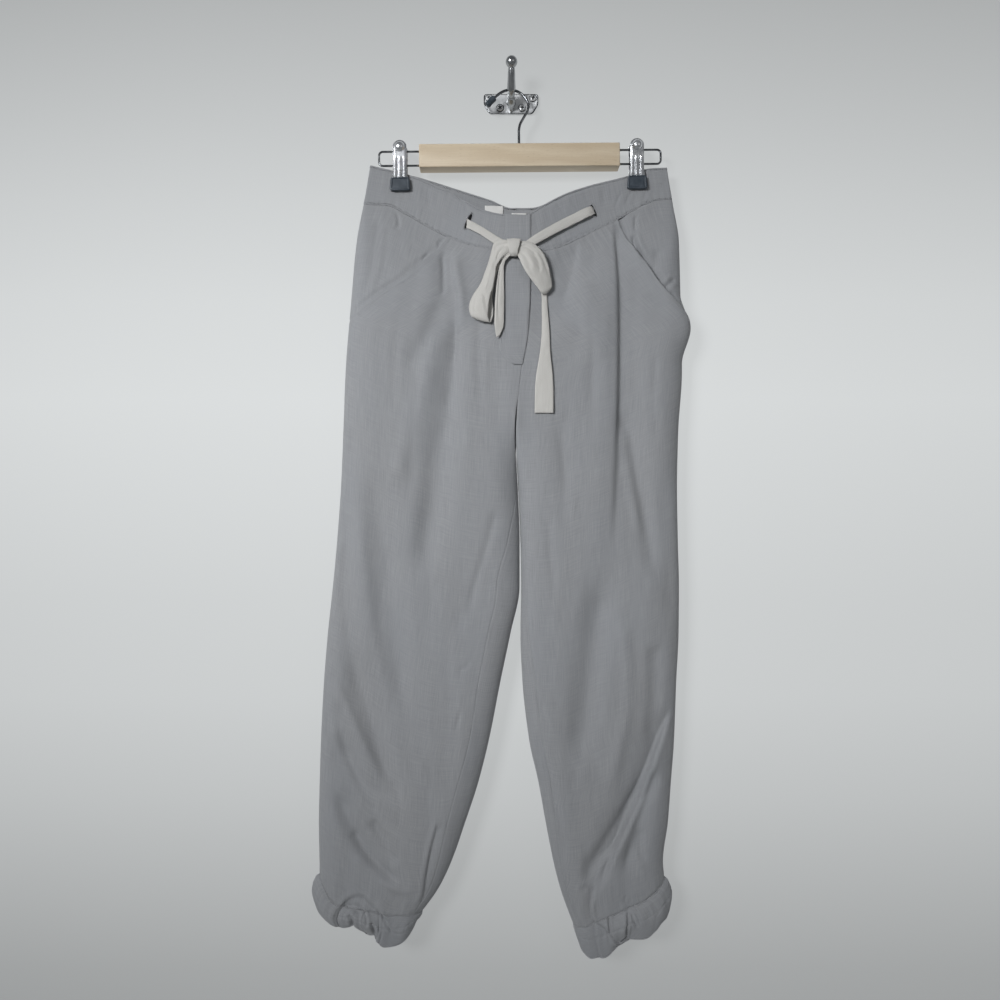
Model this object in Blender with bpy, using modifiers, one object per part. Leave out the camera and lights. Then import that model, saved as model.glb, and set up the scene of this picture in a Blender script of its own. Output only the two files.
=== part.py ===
# Linen drawstring trousers, clipped to a trouser hanger on a wall hook.
# Sizes are in millimetres: x to the side, "depth" out from the wall plane (that is -Y), height up.
# The origin is the middle of the hook plate's back face, on the wall. Right and left are the wearer's.

import math

import bmesh
import bpy
import numpy as np
from mathutils import Matrix, Vector

MM = 0.001
GAP = 0.3

# ---- driving dimensions -------------------------------------------------------------------------

CLOTH = 1.4
BAND_CLOTH = 2.0
BAND_DROP = 50.0
PINCH = 1.15
HANG_DEPTH = 22.0
BACK_CENTRE = 11.0
WAIST_CENTRE = 9.0
WAIST_HALF_OPENING = 138.0
HIP_BLEND = 110.0
CROTCH_HEIGHT = -520.0
CROTCH_BLEND = 100.0
INNER_EDGE = 36.0
SEAM_LEVEL = -480.0
SEAM_GAP = 0.6

# Where the body divides into two legs: the back panels part first, then the fronts draw away from
# their shared centre seam, and last the backs start to wrap round to the inseam.
DIVIDE = {
    "back_height": -480.0, "back_blend": 60.0,
    "front_height": -425.0, "front_blend": 30.0, "open_gap": 0.95, "closed_gap": 0.15,
    "wrap_height": -505.0, "wrap_blend": 30.0, "part_blend": 6.0,
}

# Gathers that run up from the hem: how many on a side, their depth, and how unevenly they are spaced.
GATHER = {"count": 5, "rise": 48.0, "depth": 3.0, "uneven": 0.35, "front_shift": 0.6, "back_shift": 2.1}

# Number of columns and rows that each kind of cloth piece is drawn with.
GRID = {
    "front_columns": 15, "front_rows": 13, "back_columns": 14, "back_rows": 8, "lower_rows": 21,
    "facing_columns": 7, "facing_rows": 10, "band_columns": 16, "band_back_columns": 13, "band_rows": 5,
    "tab_columns": 5, "tab_rows": 5, "fly_columns": 6, "fly_rows": 17, "label": 4,
    "cuff_half": 28, "cuff_rows": 6,
}

# Outline of each leg: outer edge, inner edge, and how far the back panel wraps round to the inseam.
LEG_COLUMNS = ("height", "outer", "inner", "wrap")
LEG_ROWS = {
    "right": (
        (-92, -183.5, 25, 0),
        (-143, -192, 25, 0),
        (-190, -200.5, 25, 0),
        (-268, -207, 23.5, 0),
        (-360, -214, 12.5, 0),
        (-440, -217, 5, 0),
        (-511, -220, 8.5, 2),
        (-580, -225, 11, 15),
        (-640, -230.5, 11, 29),
        (-700, -237, -0.5, 29),
        (-762, -242, -13.5, 28),
        (-840, -246, -29, 25),
        (-892, -247.5, -42, 26),
        (-944, -248.5, -59, 23),
        (-995, -247.5, -77, 17),
        (-1030, -247, -94, 13),
        (-1075, -246, -128, 12),
    ),
    "left": (
        (-92, 202, 25, 0),
        (-143, 210, 25, 0),
        (-190, 217.5, 25, 0),
        (-268, 219, 23.5, 0),
        (-360, 220.5, 12.5, 0),
        (-440, 215.5, 5, 0),
        (-511, 214, 8.5, 2),
        (-580, 215, 11.5, 5),
        (-640, 216.5, 12.5, 5),
        (-700, 216, 11.5, 11),
        (-762, 213, 14, 16),
        (-840, 210, 23, 17),
        (-892, 206, 34.5, 15),
        (-944, 203.5, 44, 12),
        (-995, 199.5, 54, 9),
        (-1030, 198, 63, 8),
        (-1085, 197, 83, 9),
    ),
}

# Depth of the hanging cloth at each height, the width over which its outer edge rounds away,
# and how far the front and back walls stand from the middle at that edge.
DEPTH_COLUMNS = ("height", "middle", "front", "back", "edge", "lap")
DEPTH_ROWS = (
    (-92, 22, 29, 16, 3, 1.15),
    (-145, 22, 32, 12, 4, 1.15),
    (-160, 22, 33, 11, 8, 1.1),
    (-209, 23, 38, 9, 18, 0.95),
    (-260, 25, 44, 8, 30, 0.7),
    (-330, 27, 48, 8, 42, 0.5),
    (-420, 28, 50, 8, 45, 0.3),
    (-511, 28, 49, 9, 42, 0.3),
    (-634, 28, 47, 10, 38, 0.3),
    (-810, 28, 46, 11, 34, 0.3),
    (-980, 29, 48, 12, 32, 0.3),
    (-1085, 30, 49, 13, 28, 0.3),
)

# Edges that run across the garment, as heights over x.
WAIST_FRONT_TOP = (
    (-184, -92), (-132, -105), (-93, -121.5), (-68, -135), (-35, -153), (-9, -159), (19, -160),
    (38, -148.5), (71, -130.5), (102, -119), (152, -106), (178, -96.5), (203, -95),
)
WAIST_BACK_TOP = (
    (-184, -92), (-132, -104), (-69, -122), (-27, -134), (1, -143.5), (25, -143.5), (72, -127),
    (103, -117), (152, -105), (178, -96), (203, -94.5),
)
WAIST_SEAM = (
    (-193, -143), (-161, -144.5), (-137, -156), (-113, -170), (-82, -187), (-67, -193.5), (-30, -205),
    (10, -209), (44, -207), (87, -190), (108, -178.5), (137, -164), (175, -143), (191, -137.5),
    (212, -136.5),
)
HEM = {
    "right": ((-250, -1024), (-225, -1034), (-186, -1046), (-150, -1056), (-119, -1062)),
    "left": ((80, -1077), (110, -1062), (140, -1049), (170, -1039), (200, -1027)),
}
CUFF_FOOT = {
    "right": ((-259, -1046), (-249, -1058), (-228, -1073), (-207, -1077), (-181, -1091), (-161, -1102),
              (-143, -1098), (-126, -1082), (-119, -1072)),
    "left": ((78, -1088), (89, -1105), (104, -1119), (121, -1116.5), (134, -1106), (160, -1095),
             (188, -1081), (205, -1068), (210, -1052)),
}

# Pocket mouths run from the waistband seam down to the side seam, as (x, height).
POCKET_MOUTH = {
    "right": ((-84, -188), (-100, -208), (-115, -222), (-134, -241), (-161, -259), (-185, -277),
              (-207, -296)),
    "left": ((139, -164), (149, -190), (161, -209), (174, -228), (192, -255), (209, -273),
             (226, -292), (231, -304)),
}
# The hip piece laps behind the front by "lap" and lies "drop" behind it, "deeper" below the waistband.
FACING = {
    "lap": 13.0, "drop": 2.1, "deeper": 1.3, "deeper_over": 60.0, "below": 6.0,
    "under_from": 15.0, "under_blend": 11.0, "low_from": 32.0, "low_blend": 24.0, "edge_blend": 14.0,
}
# The left pocket stands open: it flares out at the side seam and gapes along its mouth.
OPEN_POCKET = {
    "flare": 11.0, "foot": -352.0, "foot_blend": 46.0, "flare_head": -262.0, "flare_blend": 40.0,
    "gape": 5.0, "gape_width": 16.0, "gape_foot_blend": 50.0, "gape_head": -172.0, "gape_head_blend": 30.0,
}
WAIST_EASE = 25.0

# Pleats and large folds: a soft line through three points, the width and depth of its trough, and
# how crisp its one steep side is (0 soft, 1 steep towards +x, -1 steep towards -x).
FOLD_COLUMNS = ("leg", "side", "x0", "z0", "x1", "z1", "x2", "z2", "width", "depth", "crisp")
FOLD_ROWS = (
    ("right", "front", -88, -190, -86, -262, -112, -345, 13, 4.5, 0),
    ("right", "front", -74, -200, -72, -250, -68, -320, 12, -3.5, 0),
    ("right", "front", -68, -240, -78, -420, -107, -640, 22, 5.5, 0),
    ("right", "front", -177, -480, -159, -630, -132, -830, 20, 5.0, 0),
    ("right", "front", -206, -520, -215, -620, -205, -726, 13, 3.5, 0),
    ("right", "front", -205, -716, -178, -826, -138, -930, 15, 5.0, 0),
    ("right", "front", -229, -818, -190, -905, -146, -985, 16, 5.5, 0),
    ("right", "front", -222, -895, -188, -968, -142, -1024, 14, 5.0, 0),
    ("left", "front", 139, -160, 133, -370, 129, -625, 26, 8.0, 1),
    ("left", "front", 150, -215, 156, -430, 180, -650, 26, 5.0, 0),
    ("left", "front", 128, -600, 102, -715, 92, -885, 20, 4.5, 0),
    ("left", "front", 194, -480, 200, -590, 206, -700, 12, 3.0, 0),
    ("left", "front", 80, -196, 52, -245, 45, -330, 18, 2.5, 0),
    ("left", "front", 209, -782, 155, -918, 104, -1045, 20, 9.0, -1),
    ("left", "front", 185, -860, 162, -940, 143, -1020, 14, 5.0, 0),
    ("right", "back", -92, -215, -100, -420, -128, -690, 24, 5.0, 0),
    ("right", "back", -170, -560, -150, -760, -120, -960, 22, 4.5, 0),
    ("left", "back", 112, -215, 118, -420, 140, -690, 24, 5.0, 0),
    ("left", "back", 176, -600, 150, -790, 118, -985, 22, 4.5, 0),
)
# Share of a fold's length over which it starts and dies out. A pleat starts sharply at the waistband.
FOLD_FADE = {"start": 0.22, "end": 0.25, "pleat_start": 0.1, "pleat_lead": 0.02, "pleat_end": 0.3}
FOLD_CLEAR = {"lead": 6.0, "blend": 26.0}
DEEPEST_FOLD = 0.75

SLITS = (
    ("right", -57.6, 15.0, 0.0),
    ("left", 106.8, 15.0, -24.0),
)
SLIT_WIDTH = 3.6

FLY_EDGE = ((-209, 25.5), (-274, 24), (-320, 20.5), (-362, 12.5))
FLY_STITCH = ((-209, -9), (-325, -11))
FLY_FOOT = -361.0
FLY_TURN = -325.0
FLY_CLOTH = 1.0
TAB_SPAN = (-7.5, 25.0)
TAB_CLOTH = 1.2

TAPE_CLOTH = 0.9
TAPE_STEPS = {
    "run_right": 14, "run_left": 16, "loop_right": 24, "loop_left": 20, "tail_right": 12, "tail_left": 14,
}
# Each stretch of tape: lift is off the cloth beneath it, lean is the turn of its width from level.
TAPE_COLUMNS = ("x", "lift", "height", "width", "lean")
TAPE_ROUTES = {
    "run_right": (
        (-57.6, -1.4, -168.2, 11.5, 90),
        (-57.3, 1.2, -168.4, 11.5, 90),
        (-53.5, 3.6, -170.4, 11.5, 78),
        (-38, 4.2, -178.5, 11.5, 66),
        (-20, 4.6, -189, 11, 58),
        (-8.6, 5.2, -197, 10, 55),
    ),
    "run_left": (
        (106.8, -1.4, -151.5, 10.5, 114),
        (106.5, 1.2, -151.7, 10.5, 114),
        (102.5, 3.6, -153.8, 11.5, 115),
        (82, 4.2, -164.5, 12, 116),
        (56, 4.6, -179, 12, 119),
        (29.5, 5.2, -195.5, 10.5, 121),
    ),
    "loop_right": (
        (-10, 10.0, -209, 9, -28),
        (-18.5, 10.0, -222, 10.5, -22),
        (-27, 11.0, -245, 12.5, -18),
        (-33, 12.0, -266, 20, -22),
        (-37.5, 11.5, -286, 25.5, -27),
        (-38.5, 7.5, -299.5, 27, -30),
        (-35.5, 4.8, -287, 24, -27),
        (-28.5, 4.6, -262, 13, -22),
        (-20.5, 4.8, -236, 9, -20),
        (-10.5, 5.6, -217.5, 8, -26),
    ),
    "loop_left": (
        (32, 8.5, -205, 10, 48),
        (34, 11.0, -211.5, 15, 36),
        (38, 13.0, -225, 20, 18),
        (41.5, 13.0, -243, 22, 8),
        (43, 9.5, -258.5, 20, 4),
        (39, 6.0, -250, 18, 12),
        (33, 5.6, -233, 13, 24),
        (29.5, 6.0, -219, 8, 38),
    ),
    "tail_right": (
        (-2.5, 3.0, -219, 8, -10),
        (-9.5, 2.9, -232, 9.5, -6),
        (-14, 2.9, -256, 10, -3),
        (-14.5, 3.2, -284, 10.5, 0),
        (-15.5, 3.8, -312, 11.5, 0),
        (-16, 4.8, -336, 11, 4),
    ),
    "tail_left": (
        (15.5, 3.0, -219.5, 8, 20),
        (25, 2.8, -240, 8, 10),
        (36, 2.4, -262, 8, 4),
        (41.5, 2.2, -284, 8.5, 0),
        (42, 2.4, -312, 9.5, 0),
        (42, 2.4, -338, 13, 0),
        (41.5, 2.6, -372, 22, 0),
        (41, 2.6, -418, 24, 0),
    ),
}
# The knot is an egg with a few wraps across it, and a groove under its middle where the tails leave.
KNOT = {
    "x": 11.0, "z": -205.5, "wide": 34.0, "deep": 14.0, "tall": 19.0, "lift": 0.8,
    "wrap": 0.10, "wraps": 12.0, "slant": 5.0, "taper": 0.18, "groove": 3.0,
}

# The cuff swells below the hem, ripples most at half its height and is drawn in at its foot.
CUFF = {
    "ruffles": 13, "swell": 8.0, "draw": 5.0, "narrow": 0.10, "ripple": 2.2, "least": 14.0, "flat": 0.9,
    "uneven": 1.1, "louder": 0.25,
}

LABELS = (
    ("label_main", -34.5, -10.5, -141.5, -182.0),
    ("label_small", 0.5, 20.0, -150.5, -184.0),
)
LABEL_CLOTH = 0.5

BAR = {"length": 260.0, "height": 30.0, "depth": 20.0, "x": 10.5, "z": -81.5, "tilt": 0.45, "bevel": 2.0}
SIDE_WIRE = {"radius": 1.5, "rise": 9.2, "reach_right": 183.0, "reach_left": 184.5, "bend": 5.0}
CLIP_OFFSETS = {"right": -155.2, "left": 152.6}
CLIP = {
    "width": 17.5, "sheet": 1.2, "tip_width": 26.0, "tip_height": 16.0, "tip_thick": 3.4, "tip_drop": 0.5,
    "tip_round": 0.8, "dome": 6.2, "dome_flat": 0.62, "dome_height": 8.0,
}
# Side profile of a clip's jaw, from its upper end to its tip: distance from the clip's middle plane.
JAW_PROFILE = ((5.6, 19.0), (7.4, 12.0), (7.0, 4.0), (6.3, -6.0), (6.3, -20.0), (6.3, -34.0))
# The spring's coil stands oval between the two wires that the clip slides on.
SPRING = {"radius": 6.3, "length": 13.0, "rise": SIDE_WIRE["rise"] - SIDE_WIRE["radius"] - GAP}

# The hanger's hook, from its swollen tip over the coat hook to the bar, as (x, height).
CROOK_RADIUS = 1.6
CROOK_ROUTE = (
    (-32.0, -13.8), (-28.5, -9.6), (-21.8, -3.0), (-14.2, 3.2), (-7.0, 6.4), (-0.3, 7.0), (7.0, 5.6),
    (14.8, 0.6), (20.4, -6.4), (22.6, -13.6), (21.2, -19.6), (15.6, -30.0), (11.2, -38.5), (10.0, -45.0),
    (10.0, -54.0), (10.0, -65.8),
)
CROOK_TIP = {"radius": 2.5, "length": 7.0, "step": 1.5}

PLATE = {"thick": 3.0, "corner": 4.0}
PLATE_OUTLINE = ((-36, 11.5), (36, 11.5), (36, -2.5), (28.5, -15.5), (-28.5, -15.5), (-36, -2.5))
SCREWS = ((-29.3, 6.3), (29.3, 6.3), (-14.6, -6.6), (14.6, -6.6))
SCREW = {"radius": 3.7, "height": 1.6, "top": 0.6}
# The coat hook's arm, from the plate out to its ball, as (depth, height, radius).
ARM_ROUTE = (
    (4.6, -7.5, 6.4), (8.0, -6.6, 5.8), (12.0, -4.2, 5.0), (17.5, -1.2, 4.6), (22.0, 0.4, 4.5),
    (27.5, 2.6, 4.6), (33.5, 6.8, 4.6), (38.5, 12.6, 4.4), (42.0, 19.0, 3.9), (44.2, 24.6, 3.4),
)
BALL = {"depth": 45.0, "height": 31.0, "radius": 7.4, "neck_angle": -58.0, "crown_angle": 82.0, "rings": 8}

COLOURS = {
    "linen": ((0.235, 0.232, 0.248, 1), 0.9, 0.0),
    "tape": ((0.62, 0.59, 0.54, 1), 0.85, 0.0),
    "label": ((0.75, 0.74, 0.72, 1), 0.8, 0.0),
    "beech": ((0.60, 0.48, 0.33, 1), 0.5, 0.0),
    "chrome": ((0.62, 0.63, 0.65, 1), 0.22, 1.0),
    "rubber": ((0.02, 0.025, 0.035, 1), 0.45, 0.0),
}


# ---- scene, materials and small builders --------------------------------------------------------

for old in list(bpy.data.objects):
    bpy.data.objects.remove(old, do_unlink=True)

parts = bpy.data.collections.new("linen_trousers")
cutters = bpy.data.collections.new("cutters")
bpy.context.scene.collection.children.link(parts)
bpy.context.scene.collection.children.link(cutters)


def finish_material(name):
    colour, roughness, metallic = COLOURS[name]
    material = bpy.data.materials.new(name)
    material.use_nodes = True
    shader = material.node_tree.nodes["Principled BSDF"]
    shader.inputs["Base Color"].default_value = colour
    shader.inputs["Roughness"].default_value = roughness
    shader.inputs["Metallic"].default_value = metallic
    material.diffuse_color = colour
    return material


MATERIALS = {name: finish_material(name) for name in COLOURS}


def add_object(name, data, material, collection=parts):
    data.materials.append(MATERIALS[material])
    piece = bpy.data.objects.new(name, data)
    collection.objects.link(piece)
    return piece


def add_mesh(name, bm, material, collection=parts, smooth=True):
    mesh = bpy.data.meshes.new(name)
    bm.to_mesh(mesh)
    bm.free()
    if smooth:
        mesh.shade_smooth()
        mesh.set_sharp_from_angle(angle=math.radians(40))
    return add_object(name, mesh, material, collection)


def place(x, depth, height):
    return Vector((x, -depth, height)) * MM


def curve_from(table, at):
    """Cubic through the rows of a two-column table that never overshoots between them."""
    knots, values = (np.array(column, float) for column in zip(*sorted(table)))
    step = np.diff(knots)
    slope = np.diff(values) / step
    tangent = np.concatenate((slope[:1], np.zeros(len(slope) - 1), slope[-1:]))
    before, after = slope[:-1], slope[1:]
    same = before * after > 0
    tangent[1:-1][same] = 2 * before[same] * after[same] / (before[same] + after[same])
    at = np.clip(at, knots[0], knots[-1])
    cell = np.clip(np.searchsorted(knots, at) - 1, 0, len(step) - 1)
    t = (at - knots[cell]) / step[cell]
    start = values[cell] * (1 + 2 * t) * (1 - t) ** 2 + step[cell] * tangent[cell] * t * (1 - t) ** 2
    end = values[cell + 1] * t * t * (3 - 2 * t) + step[cell] * tangent[cell + 1] * t * t * (t - 1)
    return start + end


def column(rows, columns, name, at):
    """One named column of a table, read at any height."""
    key = columns.index("height")
    value = columns.index(name)
    return curve_from([(row[key], row[value]) for row in rows], at)


def ease(t):
    t = np.clip(t, 0.0, 1.0)
    return t * t * (3 - 2 * t)


def through(points, count):
    """Smooth curve through the given rows, read at evenly spaced distances along it."""
    points = np.array(points, float)
    chord = np.linalg.norm(np.diff(points[:, :3], axis=0), axis=1)
    knots = np.concatenate(([0.0], np.cumsum(chord)))
    tangent = np.gradient(points, knots, axis=0)
    at = np.linspace(0.0, knots[-1], count)
    cell = np.clip(np.searchsorted(knots, at) - 1, 0, len(chord) - 1)
    step = chord[cell][:, None]
    t = ((at - knots[cell]) / chord[cell])[:, None]
    start = points[cell] * (1 + 2 * t) * (1 - t) ** 2 + step * tangent[cell] * t * (1 - t) ** 2
    end = points[cell + 1] * t * t * (3 - 2 * t) + step * tangent[cell + 1] * t * t * (t - 1)
    return start + end


def thicken(piece, thickness):
    wall = piece.modifiers.new("cloth thickness", "SOLIDIFY")
    wall.thickness = thickness * MM
    wall.offset = 0.0
    wall.use_even_offset = False


def cloth(name, points, thickness, material, closed=False):
    """A cloth wall: a grid laid over points[row, column] = (x, depth, height), thickened evenly."""
    rows, columns = points.shape[:2]
    bm = bmesh.new()
    bmesh.ops.create_grid(bm, x_segments=columns - 1, y_segments=rows - 1, size=0.5)
    for vert in bm.verts:
        row = round((vert.co.y + 0.5) * (rows - 1))
        along = round((vert.co.x + 0.5) * (columns - 1))
        vert.co = place(*points[row, along])
    if closed:
        bmesh.ops.remove_doubles(bm, verts=bm.verts, dist=0.01 * MM)
    piece = add_mesh(name, bm, material)
    thicken(piece, thickness)
    return piece


def box(name, size, material, bevel=0.0, collection=parts):
    bm = bmesh.new()
    bmesh.ops.create_cube(bm, size=1.0, matrix=Matrix.Diagonal((*[s * MM for s in size], 1.0)))
    piece = add_mesh(name, bm, material, collection, smooth=False)
    if bevel:
        rounded = piece.modifiers.new("rounded edges", "BEVEL")
        rounded.width = bevel * MM
        rounded.segments = 1 if bevel < 1.0 else 2
    return piece


def tube(name, route, radius, material, radii=None, resolution=2):
    """A round wire along the rows of route = (x, depth, height), with its ends filled."""
    curve = bpy.data.curves.new(name, "CURVE")
    curve.dimensions = "3D"
    curve.bevel_depth = radius * MM
    curve.bevel_resolution = resolution
    curve.use_fill_caps = True
    spline = curve.splines.new("POLY")
    spline.points.add(len(route) - 1)
    for index, point in enumerate(route):
        spline.points[index].co = (*place(*point), 1.0)
        spline.points[index].radius = 1.0 if radii is None else radii[index] / radius
    return add_object(name, curve, material)


def outline_plate(name, outline, thickness, material, bevel=0.0):
    """A flat closed outline in its own XY plane, as thick as asked, centred on that plane."""
    curve = bpy.data.curves.new(name, "CURVE")
    curve.dimensions = "2D"
    curve.fill_mode = "BOTH"
    curve.extrude = (thickness / 2 - bevel) * MM
    curve.bevel_depth = bevel * MM
    curve.offset = -bevel * MM
    curve.bevel_resolution = 1
    spline = curve.splines.new("POLY")
    spline.points.add(len(outline) - 1)
    for index, (x, y) in enumerate(outline):
        spline.points[index].co = (x * MM, y * MM, 0.0, 1.0)
    spline.use_cyclic_u = True
    return add_object(name, curve, material)


# ---- the hanging cloth as one pair of surfaces --------------------------------------------------

def sign(leg):
    return -1.0 if leg == "right" else 1.0


def edge_round(distance, width):
    """How much of the full depth is reached at a distance from a rounded edge: a quarter ellipse."""
    return np.sqrt(1 - (1 - np.clip(distance / width, 0.0, 1.0)) ** 2)


def crotch_open(height):
    """1 where the two legs share one body, 0 where each leg is a tube of its own."""
    return ease((height - CROTCH_HEIGHT) / CROTCH_BLEND)


def inner_edge(leg, side, height):
    table_edge = column(LEG_ROWS[leg], LEG_COLUMNS, "inner", height)
    if side == "back":
        above = ease((height - DIVIDE["back_height"]) / DIVIDE["back_blend"])
        table_edge = table_edge + (BACK_CENTRE - table_edge) * above
    joined = ease((height - DIVIDE["front_height"]) / DIVIDE["front_blend"])
    clearance = DIVIDE["open_gap"] + (DIVIDE["closed_gap"] - DIVIDE["open_gap"]) * joined
    return table_edge + sign(leg) * clearance


def outer_edge(leg, side, height):
    edge = column(LEG_ROWS[leg], LEG_COLUMNS, "outer", height)
    if leg == "left" and side == "front":
        rise = ease((height - OPEN_POCKET["foot"]) / OPEN_POCKET["foot_blend"])
        fall = ease((OPEN_POCKET["flare_head"] - height) / OPEN_POCKET["flare_blend"])
        edge = edge + OPEN_POCKET["flare"] * rise * fall
    return edge


def fold_depth(leg, side, x, height):
    """Sum of all pleats and folds at a point: how far the cloth falls back there."""
    total = np.zeros(np.broadcast(x, height).shape)
    for row in FOLD_ROWS:
        fold = dict(zip(FOLD_COLUMNS, row))
        if fold["leg"] != leg or fold["side"] != side:
            continue
        span = (fold["z0"] - height) / (fold["z0"] - fold["z2"])
        middle = (fold["z0"] - fold["z1"]) / (fold["z0"] - fold["z2"])
        line = (
            fold["x0"] * (span - middle) * (span - 1) / middle
            + fold["x1"] * span * (span - 1) / (middle * (middle - 1))
            + fold["x2"] * span * (span - middle) / (1 - middle)
        )
        off = (x - line) / fold["width"]
        if fold["crisp"]:
            off = off * fold["crisp"]
            shape = ease(off + 0.5) * np.exp(-np.maximum(off, 0.0)) - 0.25 * np.exp(-2 * (off + 0.8) ** 2)
        else:
            shape = np.exp(-off * off)
        ends = ease(span / FOLD_FADE["start"]) * ease((1 - span) / FOLD_FADE["end"])
        if fold["crisp"] > 0:
            begun = ease((span + FOLD_FADE["pleat_lead"]) / FOLD_FADE["pleat_start"])
            ends = begun * ease((1 - span) / FOLD_FADE["pleat_end"])
        total = total + fold["depth"] * shape * ends
    return total


def gather(leg, side, along, height, x):
    """Gathers run up from the hem and die out: uneven waves over the fraction across the leg."""
    hem = curve_from(HEM[leg], x)
    near = ease((hem + GATHER["rise"] - height) / GATHER["rise"])
    shift = GATHER[side + "_shift"]
    uneven = GATHER["uneven"] * np.sin(4 * math.pi * along + shift)
    phase = 2 * math.pi * (GATHER["count"] * along + uneven) + shift
    return GATHER["depth"] * near * np.sin(phase)


def depth_at(leg, side, x, height):
    """Depth of the middle of the cloth on the front or back, at any x across the leg."""
    read = {name: column(DEPTH_ROWS, DEPTH_COLUMNS, name, height) for name in DEPTH_COLUMNS[1:]}
    outer = outer_edge(leg, side, height)
    inner = inner_edge(leg, side, height)
    from_outer = np.abs(x - outer)
    from_inner = np.abs(x - inner)
    waist = 1 - ease((curve_from(WAIST_SEAM, x) + WAIST_EASE - height) / HIP_BLEND)
    bow = np.cos(np.clip((x - WAIST_CENTRE) / WAIST_HALF_OPENING, -1, 1) * math.pi / 2) ** 2
    full = np.abs(read[side] - read["middle"])
    reach = PINCH + (full - PINCH) * (waist * bow + 1 - waist)
    outer_round = edge_round(from_outer, read["edge"])
    open_body = crotch_open(height)
    inner_round = open_body + (1 - open_body) * edge_round(from_inner, INNER_EDGE)
    flat = read["lap"] + (np.maximum(reach, read["lap"]) - read["lap"]) * outer_round
    away = flat * inner_round
    calm = outer_round ** 2 * (open_body + (1 - open_body) * inner_round ** 2)
    below_seam = ease((curve_from(WAIST_SEAM, x) - height + FOLD_CLEAR["lead"]) / FOLD_CLEAR["blend"])
    folds = fold_depth(leg, side, x, height) * below_seam
    across = from_outer / np.maximum(from_outer + from_inner, 1.0)
    waves = gather(leg, side, across, height, x)
    away = away - np.minimum((folds - waves) * calm, DEEPEST_FOLD * away)
    direction = 1.0 if side == "front" else -1.0
    return read["middle"] + direction * away


FINE = 161


def half_section(leg, side, height):
    """Cloth line of one side of a leg at each height, finely stepped from outer to inner edge."""
    turn = (1 - np.cos(np.linspace(0, math.pi, FINE))) / 2
    level = height[:, None]
    outer = outer_edge(leg, side, level)
    x = outer + (inner_edge(leg, side, level) - outer) * turn
    return x, depth_at(leg, side, x, level)


def distance_along(x, depth):
    step = np.hypot(np.diff(x, axis=1), np.diff(depth, axis=1))
    return np.concatenate((np.zeros((len(x), 1)), np.cumsum(step, axis=1)), axis=1)


def mouth_x(leg, height):
    return curve_from([(z, x) for x, z in POCKET_MOUTH[leg]], height)


def mouth_foot(leg):
    return POCKET_MOUTH[leg][-1][1]


def cloth_line(leg, kind, height):
    """The line that a kind of panel takes at each height, and where on it the panel starts and stops."""
    front_x, front_depth = half_section(leg, "front", height)
    front_run = distance_along(front_x, front_depth)
    wrap = column(LEG_ROWS[leg], LEG_COLUMNS, "wrap", height)
    wrap = wrap * ease((DIVIDE["wrap_height"] - height) / DIVIDE["wrap_blend"])
    seam = np.array([
        np.interp(-w, -np.abs(xs - xs[-1]), run) for w, xs, run in zip(wrap, front_x, front_run)
    ])
    closed = ease((DIVIDE["wrap_height"] - height) / DIVIDE["part_blend"])
    if kind in ("back", "band_back"):
        back_x, back_depth = half_section(leg, "back", height)
        x = np.concatenate((front_x, back_x[:, ::-1]), axis=1)
        depth = np.concatenate((front_depth, back_depth[:, ::-1]), axis=1)
        run = distance_along(x, depth)
        back_start = run[:, FINE]
        start = np.where(closed > 0, seam + SEAM_GAP / 2, back_start)
        stop = run[:, -1]
        return x, depth, run, start, stop
    start = np.zeros(len(height))
    stop = front_run[:, -1] - np.where(closed > 0, front_run[:, -1] - seam + SEAM_GAP / 2, 0.0)
    if kind in ("front", "facing"):
        mouth = mouth_x(leg, height)
        at_mouth = np.array([
            np.interp(abs(m - xs[0]), np.abs(xs - xs[0]), run)
            for m, xs, run in zip(mouth, front_x, front_run)
        ])
        inside = np.abs(mouth - front_x[:, -1]) < np.abs(front_x[:, 0] - front_x[:, -1])
        at_mouth = at_mouth * inside * (height > mouth_foot(leg))
        if kind == "front":
            start = at_mouth
        else:
            stop = at_mouth + FACING["lap"]
    return front_x, front_depth, front_run, start, stop


def on_panel(leg, kind, along, height):
    """Points (x, depth) on a panel at fractions across it and heights, given as equal flat arrays."""
    x, depth, run, start, stop = cloth_line(leg, kind, height)
    target = start + (stop - start) * along
    found_x = np.array([np.interp(t, r, xs) for t, r, xs in zip(target, run, x)])
    found_depth = np.array([np.interp(t, r, ds) for t, r, ds in zip(target, run, depth)])
    return found_x, found_depth


def edge_heights(leg, kind, along, edge, offset):
    """Heights at which each fraction across a panel meets an edge given as height over x."""
    height = np.full(len(along), float(np.mean([z for _, z in edge])))
    for _ in range(8):
        x, _ = on_panel(leg, kind, along, height)
        height = curve_from(edge, x) + offset
    return height


def rows_between(top, foot, count):
    """Evenly spaced rows of heights from one edge to another."""
    return top[None, :] + (foot - top)[None, :] * np.linspace(0, 1, count)[:, None]


def leg_rows(top, foot, upper, lower):
    """Rows down to the seam level, then rows that the front and back of a leg share."""
    level = np.full(len(top), SEAM_LEVEL)
    return np.concatenate((rows_between(top, level, upper), rows_between(level, foot, lower)[1:]))


def panel(leg, kind, along, height):
    """Grid of points at the given rows of heights."""
    spread = np.broadcast_to(along, height.shape)
    x, depth = on_panel(leg, kind, spread.ravel(), height.ravel())
    return np.stack((x.reshape(height.shape), depth.reshape(height.shape), height), axis=-1)


def columns_across(count, edge_step=0.006):
    """Even fractions across a panel, with one narrow step at each end to turn its edge."""
    return np.concatenate(([0.0, edge_step], np.linspace(0, 1, count)[1:-1], [1 - edge_step, 1.0]))


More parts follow.
